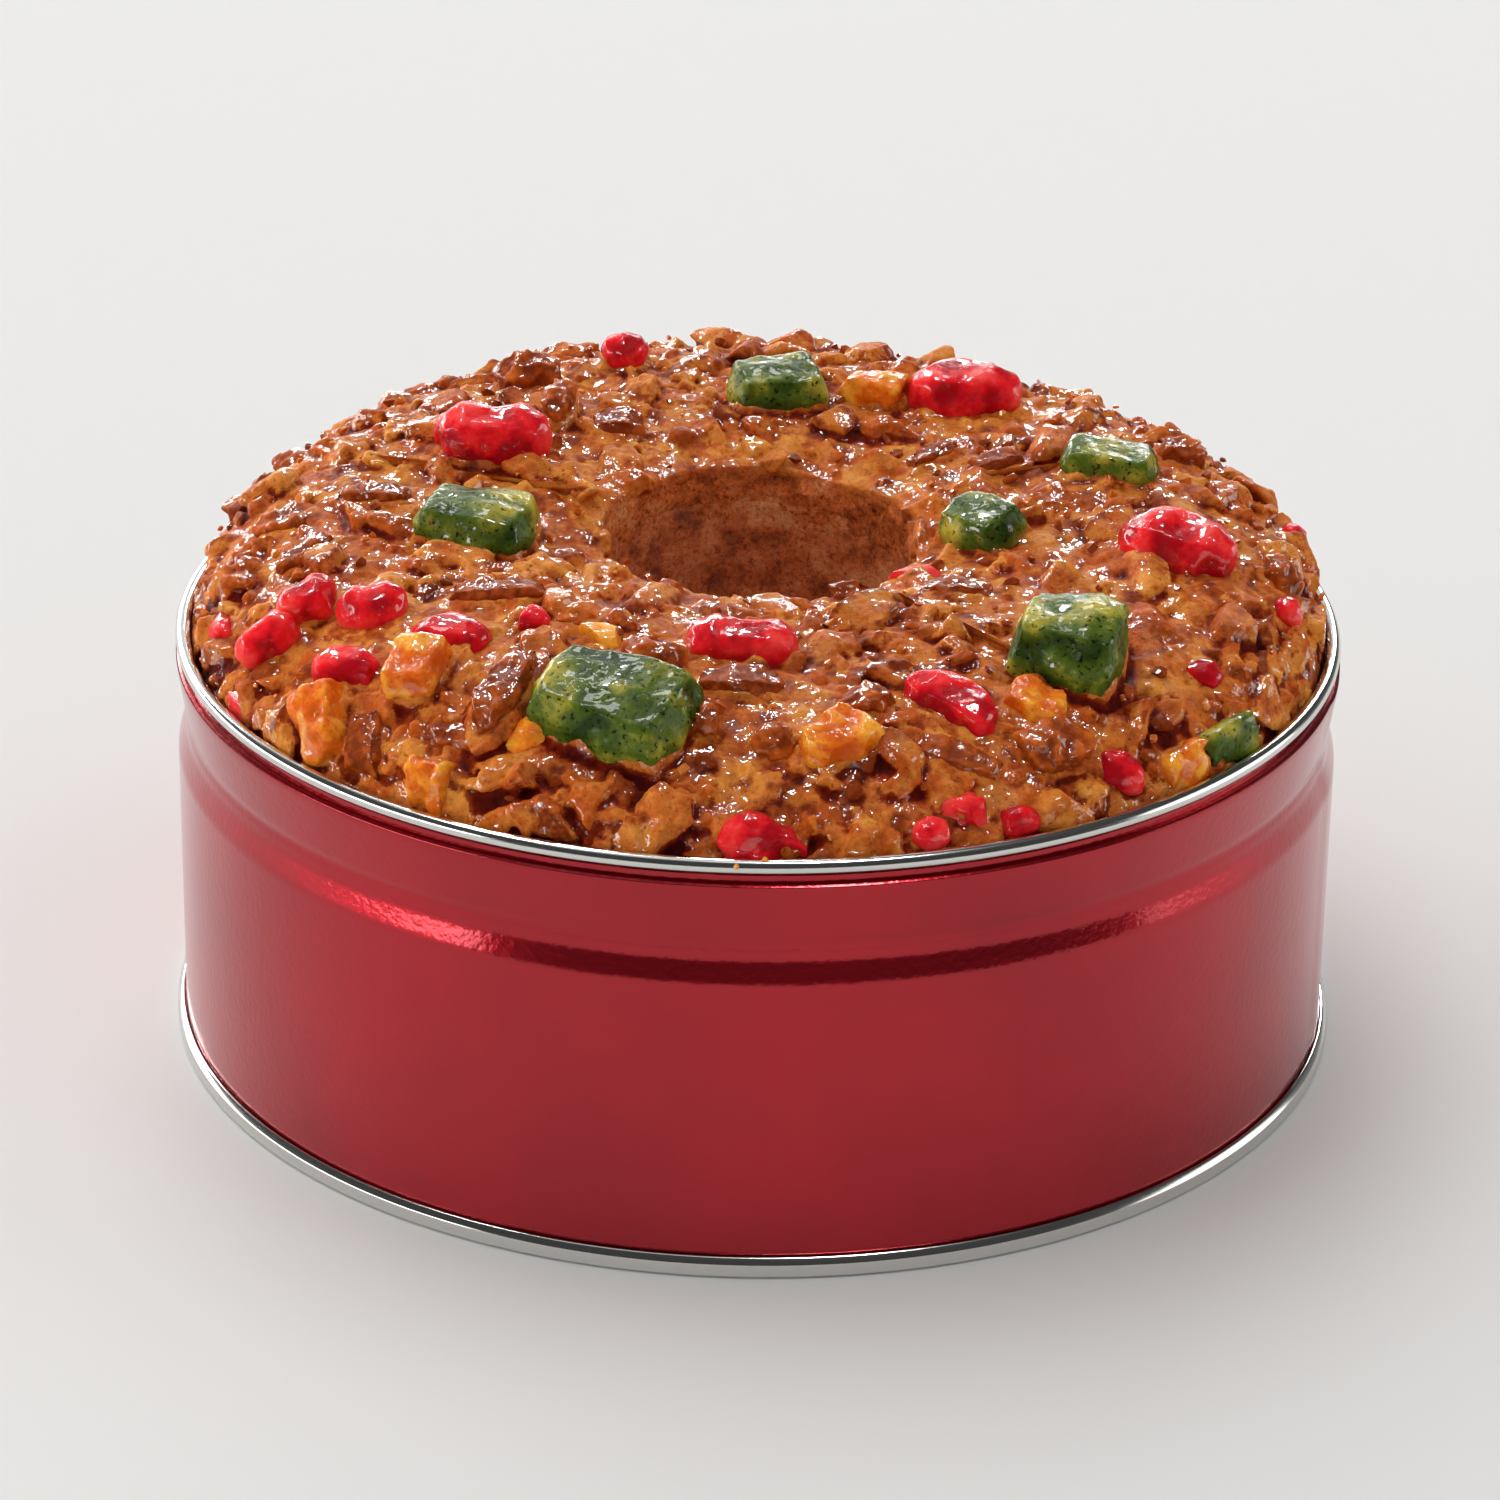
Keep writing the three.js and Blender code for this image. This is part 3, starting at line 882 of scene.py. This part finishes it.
def make_collars(cake):
    """Batter drawn up round the foot of each piece of fruit and each nut."""
    collars = []
    for name in TOPPINGS:
        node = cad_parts[name]
        piece = points_of(node)
        middle = (piece.min(0) + piece.max(0)) / 2
        up = surface_normal(cake, middle[:1], middle[1:2])[0]
        sunk = up * np.ptp(piece @ up) * (1 - COLLAR_HEIGHT)
        collars.append((middle + (piece - middle) * COLLAR_WIDTH - sunk, triangles_of(node)))
    points, triangles, _ = joined(collars)
    return mesh_object("collars", points, triangles)


# ---- the crust and the crumb ----

LIP_STEPS = ((0.3, 4), (0.6, 9), (4, 13))   # mm behind the hole's wall and below its lip
SLAB_FOOT = 60 * MM
# keeps each piece of the crust small enough
SECTORS = 5                                 # the crust is cut in this many pieces, each smaller than the whole ring
SECTOR_START = math.radians(20)
UNDERSIDE = 64 * MM                         # of the crust, under the bare edge at the tin
TORN_BAND = 2.6 * MM                        # of bare crumb round the top of the hole
SOFT_EDGE = 1.2 * MM


def make_crust(cake, nuts, material):
    """The glazed top: a slab of batter and the nuts sunk in it, grown into one skin."""
    lip = [(cake.hole_radius + back * MM, cake.lip_height - down * MM) for back, down in LIP_STEPS]
    dome = np.linspace(cake.radius, lip[0][0], 90)
    outline = [
        *lip,
        (cake.hole_radius + 8 * MM, SLAB_FOOT),
        (cake.radius, SLAB_FOOT),
        *zip(dome, crown(cake, dome) + nuts.swell),
    ]
    crust = turned("glazed_crust", outline, sides=360)
    settle_ring(cake, crust)
    clouds(crust, 5, 2.4, 2)
    points, triangles, owner = sunk_nuts(cake, nuts)
    sunk = mesh_object("sunk_nuts", points, triangles)
    collars = make_collars(cake)
    choose(crust)
    sunk.select_set(True)
    collars.select_set(True)
    bpy.ops.object.join()
    voxel = nuts.grain
    modify(crust, "REMESH", mode="VOXEL", voxel_size=voxel)
    modify(crust, "SMOOTH", factor=0.5, iterations=1)
    clouds(crust, 2.6, 0.7, 2)
    clouds(crust, 1.1, 0.2, 1)
    move_points(crust, kept_in_tin(cake, points_of(crust)))
    tree = KDTree(len(points))
    for i, point in enumerate(points):
        tree.insert(point, i)
    tree.balance()
    for sector in cut_in_sectors(crust):
        mark_nuts(cake, sector, tree, owner)
        finish_piece(sector, material, "cake", "cake")


def slice_off(place, normal, behind):
    """Cuts the mesh that is being edited, before or behind a plane, and closes it crisply."""
    bpy.ops.mesh.select_all(action="SELECT")
    bpy.ops.mesh.bisect(
        plane_co=place, plane_no=normal, use_fill=True, clear_inner=behind,
        clear_outer=not behind,
    )
    bpy.ops.mesh.mark_sharp()


def cut_in_sectors(ring):
    """Parts a fine ring like slices of a cake, each with a flat underside."""
    sectors = []
    for i in range(SECTORS):
        sector = copied(ring, "%s_%d" % (ring.name, i + 1))
        choose(sector)
        bpy.ops.object.shade_smooth()
        edit(sector)
        for turn, behind in ((i, True), (i + 1, False)):
            bearing = math.tau * turn / SECTORS + SECTOR_START
            slice_off((0, 0, 0), (-math.sin(bearing), math.cos(bearing), 0), behind)
        slice_off((0, 0, UNDERSIDE), (0, 0, 1), behind=True)
        choose(sector)
        sectors.append(sector)
    bpy.data.objects.remove(ring)
    return sectors


def mark_nuts(cake, crust, tree, owner):
    """Tells the material where the crust is nut, which nut it is, how high it lies over what
    is round it, broadly and closely, which the material paints as shade in the hollows and
    creases, and where it is bare crumb."""
    tones = np.random.default_rng(5).random(owner.max() + 1)
    points = points_of(crust)
    _, nearest, distance = zip(*(tree.find(point) for point in points))
    above = points[:, 2] - surface_height(cake, points[:, 0], points[:, 1])
    radius = np.hypot(points[:, 0], points[:, 1])
    bare = np.clip((cake.hole_radius + TORN_BAND - radius) / SOFT_EDGE, 0, 1)
    bare *= np.clip(-above / SOFT_EDGE, 0, 1)
    mark(crust, "nut", np.clip(1.6 - np.array(distance) / (0.8 * MM), 0, 1))
    mark(crust, "tone", tones[owner[list(nearest)]])
    mark(crust, "bare", bare)
    for name, reach, span in (("height", 3 * MM, 4 * MM), ("fold", 1 * MM, 1.2 * MM)):
        level = np.clip(0.5 + (above - near_mean(points, above, reach)) / span, 0, 1)
        mark(crust, name, np.maximum(level, 0.5 * bare))


def near_mean(points, values, reach):
    """Mean value within about that reach of each point, over the plan of the ring."""
    cell = reach / 3
    place = np.round((points[:, :2] + 0.1) / cell).astype(int)
    size = place.max() + 8
    total, number = np.zeros((size, size)), np.zeros((size, size))
    np.add.at(total, (place[:, 0], place[:, 1]), values)
    np.add.at(number, (place[:, 0], place[:, 1]), 1)
    for axis in (0, 1):
        for _ in range(3):
            total = total + np.roll(total, 1, axis) + np.roll(total, -1, axis)
            number = number + np.roll(number, 1, axis) + np.roll(number, -1, axis)
    return (total / np.maximum(number, 1e-9))[place[:, 0], place[:, 1]]


def make_crumb(cake, material):
    """The ring under the crust, with the torn wall of the hole."""
    wall_steps = 100
    top = cake.lip_height - 6 * MM
    under = cake.radius - 1 * MM
    outline = [
        *((cake.hole_radius + 0.4 * MM, z) for z in np.linspace(cake.foot, top, wall_steps)),
        *(
            (r, float(crown(cake, r) - 4 * MM))
            for r in np.linspace(cake.hole_radius + 4 * MM, 85 * MM, 12)
        ),
        (under, UNDERSIDE),
        (under, cake.foot),
    ]
    ring = turned("cake_crumb", outline, sides=220)
    settle_ring(cake, ring)
    clouds(ring, 9, 1.6, 2)
    clouds(ring, 1.6, 0.8, 2)
    smooth_faces(ring, 180)
    return finish_piece(ring, material, "cake", "cake")


# ---- small things that lie on the crust ----

# Each bit is x, y, length, width and rise in mm, and its turn in degrees.
CHERRY_BITS = (
    (31.7, -82.3, 8, 6, 2.2, 20), (24.9, -15.7, 10, 5, 1.6, 10), (-80.5, -42.6, 9, 5, 2.6, -60),
)
GOLDEN_BITS = (
    (-31.9, -72.2, 13, 9, 2.8, 40), (-24.4, -48.3, 9, 6, 2.4, -20), (52, -38, 11, 6, 2.2, 70),
)
NUT_BITS = (
    (-27.3, -40.1, 9, 6, 2.4, 30), (-39.1, 21.2, 9, 6, 2.6, 0), (-46, 24, 8, 6, 2.2, 60),
    (-36, 28, 8, 5, 2.2, -40),
)
# Each crumb is its bearing and its place round the rim's roll in degrees, and its size in mm.
RIM_CRUMBS = ((-91.6, 25, 1.0), (-89.1, 85, 1.0))


def make_heap(name, cake, shapes, spots, material, slot, seed):
    """A heap of separate pieces as one mesh, each with a tone of its own."""
    points, triangles, owner = heap(cake, shapes, spots)
    pile = mesh_object(name, points, triangles)
    mark(pile, "tone", np.random.default_rng(seed).random(len(spots))[owner])
    smooth_faces(pile, 40)
    return finish_piece(pile, material, slot, "cake")


def lay_bits(name, cake, places, material, slot):
    """Lays single small pieces down."""
    spots = np.array([
        (x * MM, y * MM, long * MM, wide * MM, 0.8 * wide * MM, rise * MM, math.radians(turn), 0, 0)
        for x, y, long, wide, rise, turn in places
    ])
    shapes = nut_shapes(3, faces=400, seed=50)
    return make_heap(name, cake, shapes, spots, material, slot, seed=7)


def drop_crumbs(tin, material):
    """Lays crumbs of the cake on the rolled rim."""
    placed = []
    for i, (bearing, up, size) in enumerate(RIM_CRUMBS):
        shape, faces = chopped_nut(seed=60 + i, faces=60, cuts=3, lobes=0.6)
        bearing, up = math.radians(bearing), math.radians(up)
        radius = tin.radius - tin.rim_tube * (1 - math.cos(up))
        height = tin.height - tin.rim_tube * (1 - math.sin(up))
        place = (radius * math.cos(bearing), radius * math.sin(bearing), height)
        placed.append((shape * size * MM / 2 + np.array(place), faces))
    points, triangles, _ = joined(placed)
    crumbs = mesh_object("rim_crumbs", points, triangles)
    mark(crumbs, "tone", np.ones(len(points)))
    smooth_faces(crumbs, 40)
    return finish_piece(crumbs, material, "nut", "cake")


# ---- fruit and nuts on top ----

UNDERCUT = 2.2 * MM     # how far a piece's underside is sunk into the crust
RELIEFS = {     # pattern, size and depth in mm and, for clouds, their detail
    "cherry": (("CLOUDS", 6, 1.4, 0), ("VORONOI", 4.5, 0.6), ("CLOUDS", 2, 0.4, 1)),
    "green_fruit": (("CLOUDS", 6, 1.4, 1), ("CLOUDS", 1.5, 0.35, 2)),
    "golden_fruit": (("CLOUDS", 5, 2.4, 1), ("CLOUDS", 1.8, 0.8, 2)),
    "pecan": (("VORONOI", 3.6, 2.0), ("CLOUDS", 1.8, 0.9, 2)),
    "nut": (("CLOUDS", 3.5, 2.6, 2), ("VORONOI", 3, 1.2)),
}


def moulded_copy(cake, node, name, voxel, rounds):
    """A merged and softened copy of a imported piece, its underside sunk into the crust."""
    piece = copied(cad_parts[node], name)
    edit(piece)
    bpy.ops.mesh.remove_doubles(threshold=0.01 * MM)
    bpy.ops.mesh.select_all(action="DESELECT")
    choose(piece)
    middle = points_of(piece).mean(0)
    up = Vector(surface_normal(cake, middle[:1], middle[1:2])[0])
    for face in piece.data.polygons:
        face.select = face.normal.dot(up) < -0.5
    bpy.ops.object.mode_set(mode="EDIT")
    bpy.ops.transform.translate(value=-UNDERCUT * up)
    choose(piece)
    modify(piece, "REMESH", mode="VOXEL", voxel_size=voxel)
    modify(piece, "SMOOTH", factor=0.5, iterations=rounds)
    return piece


def dress(cake, kind, name, material, slot, voxel=0.5 * MM, rounds=4):
    """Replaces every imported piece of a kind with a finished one."""
    for node in TOPPINGS:
        if node.startswith(kind):
            piece = moulded_copy(cake, node, node.replace(kind, name), voxel, rounds)
            plain = points_of(piece)
            for pattern, size, depth, *detail in RELIEFS[kind]:
                settings = {"noise_depth": detail[0]} if detail else {"weight_1": -1, "weight_2": 1}
                relief(piece, pattern, size * MM, depth * MM, **settings)
            mark_relief(piece, plain)
            smooth_faces(piece, 180)
            finish_piece(piece, material, slot, node)


def mark_relief(piece, plain):
    """Tells the material how far each spot stands out of the piece's plain form. The materials
    paint the sunk spots darker as painted shade and the raised ones paler as painted light.
    """
    middle = plain.mean(0)
    out = np.linalg.norm(points_of(piece) - middle, axis=1) - np.linalg.norm(plain - middle, axis=1)
    mark(piece, "tone", np.clip(0.5 + out / (2 * MM), 0, 1))


# ---- stage ----

def make_camera(stage):
    ahead = Vector(stage.target) - Vector(stage.camera)
    turn = ahead.to_track_quat("-Z", "Y").to_matrix().to_4x4()
    deselect()
    bpy.ops.object.camera_add(location=stage.camera)
    camera = added("camera")
    rolled = turn @ Matrix.Rotation(stage.roll, 4, "Z")
    camera.matrix_world = Matrix.Translation(stage.camera) @ rolled
    camera.data.sensor_width = 36
    camera.data.lens = stage.lens
    bpy.context.scene.camera = camera


def make_floor(stage):
    deselect()
    bpy.ops.mesh.primitive_plane_add(size=12)
    floor = added("floor")
    material, _, _ = new_material("matt_table", roughness=0.9, base_color=(*stage.floor, 1))
    floor.data.materials.append(material)


def lit_patch(tree, first, *edges):
    """A soft patch of light. Each edge is a coordinate, two values of it, and the light's
    strength or share at each, 0 and 1 if they aren't given."""
    light = remapped(tree, *first)
    for edge in edges:
        light = maths(tree, "MULTIPLY", light, remapped(tree, *edge))
    return light


def make_world(stage):
    """Surroundings of a product studio: a lit sweep behind, a dark room, a low softbox along
    the left, and a long one that reaches from low behind the table to overhead."""
    world = bpy.data.worlds.new("studio")
    world.use_nodes = True
    tree = world.node_tree
    ray = add_node(tree, "ShaderNodeTexCoord").outputs["Generated"]
    x, y, z = add_node(tree, "ShaderNodeSeparateXYZ", {"Vector": ray}).outputs
    aside = maths(tree, "ABSOLUTE", maths(tree, "SUBTRACT", x, stage.bank_side))
    to_left = {"operation": "DOT_PRODUCT", 0: ray, 1: (-0.9, 0.44, 0)}
    to_left = add_node(tree, "ShaderNodeVectorMath", to_left).outputs["Value"]
    bank = lit_patch(
        tree, (z, 0.2, 0.32, stage.bank_low, stage.bank), (aside, 0.24, 0.27, 1, 0),
        (z, 0.05, 0.08), (y, -0.3, -0.25),
    )
    left = lit_patch(
        tree, (to_left, 0.42, 0.46, 0, stage.left), (z, 0.03, 0.05), (z, 0.22, 0.26, 1, 0),
    )
    sweep = lit_patch(tree, (z, 0.05, 0.3, 1, 0), (y, -0.1, 0.3, 0, stage.sweep))
    level = maths(tree, "MAXIMUM", maths(tree, "MAXIMUM", bank, left), sweep)
    background = tree.nodes["Background"]
    background.inputs["Color"].default_value = (1, 1, 1, 1)
    tree.links.new(background.inputs["Strength"], maths(tree, "ADD", level, stage.room))
    bpy.context.scene.world = world


def make_lamp(name, direction, spread, strength, glints=True):
    """A round softbox so far off that it lights the whole table evenly."""
    deselect()
    bpy.ops.object.light_add(type="SUN", location=Vector(direction))
    lamp = added(name)
    lamp.rotation_euler = Vector(direction).to_track_quat("Z", "Y").to_euler()
    lamp.data.angle = math.radians(spread)
    lamp.data.energy = strength
    lamp.visible_glossy = glints
    return lamp


# Directions of the small lamps, and how wide each is in degrees.
SPARKS = (
    (-0.45, 0.75, 0.4), (0.2, 0.85, 0.35), (-0.1, 0.65, 0.75), (-0.3, 0.25, 0.92),
    (0.15, -0.05, 0.99),
)
SPARK_SPREAD = 12


def make_lights(stage):
    make_lamp("key_light", (-0.3, 0.25, 0.92), spread=56, strength=stage.key, glints=False)
    make_lamp("fill_light", (-0.2, -0.45, 0.87), spread=160, strength=stage.fill, glints=False)
    make_lamp("right_softbox", (0.97, 0.15, 0.15), spread=45, strength=stage.right)
    for number, direction in enumerate(SPARKS, 1):
        lamp = make_lamp("spark_%d" % number, direction, SPARK_SPREAD, stage.spark)
        lamp.visible_diffuse = False


# ---- operators ----

class FRUITCAKE_OT_tin(bpy.types.Operator):
    """Make the lacquered wall, the rolled rim and the seamed base"""

    bl_idname = "fruitcake.tin"
    bl_label = "Tin"

    def execute(self, context):
        tin = context.scene.fruitcake_tin
        tinplate = bare_tinplate(tin)
        make_tin_wall(tin, lacquered_tinplate(tin))
        make_tin_rim(tin, tinplate)
        make_tin_base(tin, tinplate)
        return {"FINISHED"}


class FRUITCAKE_OT_cake(bpy.types.Operator):
    """Make the crumb of the ring and its glazed crust"""

    bl_idname = "fruitcake.cake"
    bl_label = "Cake"

    def execute(self, context):
        cake = context.scene.fruitcake_cake
        nuts = context.scene.fruitcake_nuts
        make_crumb(cake, cake_crumb())
        make_crust(cake, nuts, glazed_crust(cake, nuts))
        return {"FINISHED"}


class FRUITCAKE_OT_chopped_nuts(bpy.types.Operator):
    """Lay crumbs of nut on the crust and crumbs of cake on the rim"""

    bl_idname = "fruitcake.chopped_nuts"
    bl_label = "Chopped nuts"

    def execute(self, context):
        cake = context.scene.fruitcake_cake
        nuts = context.scene.fruitcake_nuts
        material = glazed_nut(nuts)
        fine = small_nut_spots(cake, nuts.crumbs, seed=13, sizes=(1, 3), rises=(1.5, 2.6))
        fine = fine[clear_of_toppings(cake, fine, 0.5)]
        shapes = nut_shapes(6, faces=24, seed=400)
        make_heap("nut_crumbs", cake, shapes, fine, material, "nut", seed=23)
        drop_crumbs(context.scene.fruitcake_tin, material)
        return {"FINISHED"}


class FRUITCAKE_OT_cherries(bpy.types.Operator):
    """Dress the candied cherries"""

    bl_idname = "fruitcake.cherries"
    bl_label = "Cherries"

    def execute(self, context):
        fruit = context.scene.fruitcake_fruit
        flesh = candied_flesh(
            "candied_cherry", (fruit.cherry_deep, fruit.cherry, fruit.cherry_light), size_mm=6,
            wrinkle_mm=3.5, wet=0.47, pitted=0.0, subsurface_weight=0.6,
            subsurface_radius=(1.0, 0.12, 0.08), subsurface_scale=3 * MM,
        )
        cake = context.scene.fruitcake_cake
        dress(cake, "cherry", "candied_cherry", flesh, "cherry", rounds=14)
        lay_bits("cherry_bits", cake, CHERRY_BITS, flesh, "cherry")
        return {"FINISHED"}


class FRUITCAKE_OT_green_fruit(bpy.types.Operator):
    """Dress the candied green fruit"""

    bl_idname = "fruitcake.green_fruit"
    bl_label = "Green fruit"

    def execute(self, context):
        fruit = context.scene.fruitcake_fruit
        flesh = candied_flesh(
            "candied_green_fruit", (fruit.green_deep, fruit.green, fruit.green_light), size_mm=9,
            wrinkle_mm=2, wet=0.4, pitted=1.0, subsurface_weight=0.15,
            subsurface_radius=(0.5, 1.0, 0.2), subsurface_scale=2.5 * MM,
        )
        cake = context.scene.fruitcake_cake
        dress(cake, "green_fruit", "candied_green", flesh, "green_fruit", voxel=0.55 * MM)
        return {"FINISHED"}


class FRUITCAKE_OT_golden_fruit(bpy.types.Operator):
    """Dress the candied golden fruit"""

    bl_idname = "fruitcake.golden_fruit"
    bl_label = "Golden fruit"

    def execute(self, context):
        fruit = context.scene.fruitcake_fruit
        flesh = candied_flesh(
            "candied_golden_fruit", (fruit.golden_deep, fruit.golden, fruit.golden_light),
            size_mm=4, wrinkle_mm=2, wet=0.46, pitted=0.3, subsurface_weight=0.3,
            subsurface_radius=(1.0, 0.5, 0.1), subsurface_scale=3 * MM,
        )
        cake = context.scene.fruitcake_cake
        dress(cake, "golden_fruit", "candied_golden", flesh, "golden_fruit", voxel=0.45 * MM)
        lay_bits("golden_bits", cake, GOLDEN_BITS, flesh, "golden_fruit")
        return {"FINISHED"}


class FRUITCAKE_OT_nuts(bpy.types.Operator):
    """Dress the pecan halves and the whole nuts"""

    bl_idname = "fruitcake.nuts"
    bl_label = "Pecans and nuts"

    def execute(self, context):
        cake = context.scene.fruitcake_cake
        material = glazed_nut(context.scene.fruitcake_nuts)
        dress(cake, "pecan", "glazed_pecan", material, "nut")
        dress(cake, "nut", "glazed_nut", material, "nut", rounds=6)
        lay_bits("nut_bits", cake, NUT_BITS, material, "nut")
        return {"FINISHED"}


class FRUITCAKE_OT_stage(bpy.types.Operator):
    """Set up the table, the soft light and the camera"""

    bl_idname = "fruitcake.stage"
    bl_label = "Stage"

    def execute(self, context):
        stage = context.scene.fruitcake_stage
        make_floor(stage)
        make_world(stage)
        make_lights(stage)
        make_camera(stage)
        context.scene.view_settings.view_transform = "Standard"
        return {"FINISHED"}


class FRUITCAKE_PT_panel(bpy.types.Panel):
    """The steps in the order in which they are run"""

    bl_idname = "FRUITCAKE_PT_panel"
    bl_label = "Fruit cake"
    bl_space_type = "VIEW_3D"
    bl_region_type = "UI"
    bl_category = "Fruit cake"

    def draw(self, context):
        for step in STEPS:
            self.layout.operator(step.bl_idname)


GROUPS = {
    "fruitcake_tin": TinProperties,
    "fruitcake_cake": CakeProperties,
    "fruitcake_nuts": NutProperties,
    "fruitcake_fruit": FruitProperties,
    "fruitcake_stage": StageProperties,
}
STEPS = (
    FRUITCAKE_OT_stage,
    FRUITCAKE_OT_tin,
    FRUITCAKE_OT_cake,
    FRUITCAKE_OT_chopped_nuts,
    FRUITCAKE_OT_cherries,
    FRUITCAKE_OT_green_fruit,
    FRUITCAKE_OT_golden_fruit,
    FRUITCAKE_OT_nuts,
)


def register():
    for cls in (*GROUPS.values(), *STEPS, FRUITCAKE_PT_panel):
        bpy.utils.register_class(cls)
    for name, group in GROUPS.items():
        setattr(bpy.types.Scene, name, PointerProperty(type=group))


def unregister():
    for name in GROUPS:
        delattr(bpy.types.Scene, name)
    for cls in (FRUITCAKE_PT_panel, *reversed(STEPS), *GROUPS.values()):
        bpy.utils.unregister_class(cls)


def main():
    register()
    bpy.ops.fruitcake.stage()
    bpy.ops.fruitcake.tin()
    bpy.ops.fruitcake.cake()
    bpy.ops.fruitcake.chopped_nuts()
    bpy.ops.fruitcake.cherries()
    bpy.ops.fruitcake.green_fruit()
    bpy.ops.fruitcake.golden_fruit()
    bpy.ops.fruitcake.nuts()


if __name__ == "__main__":
    main()
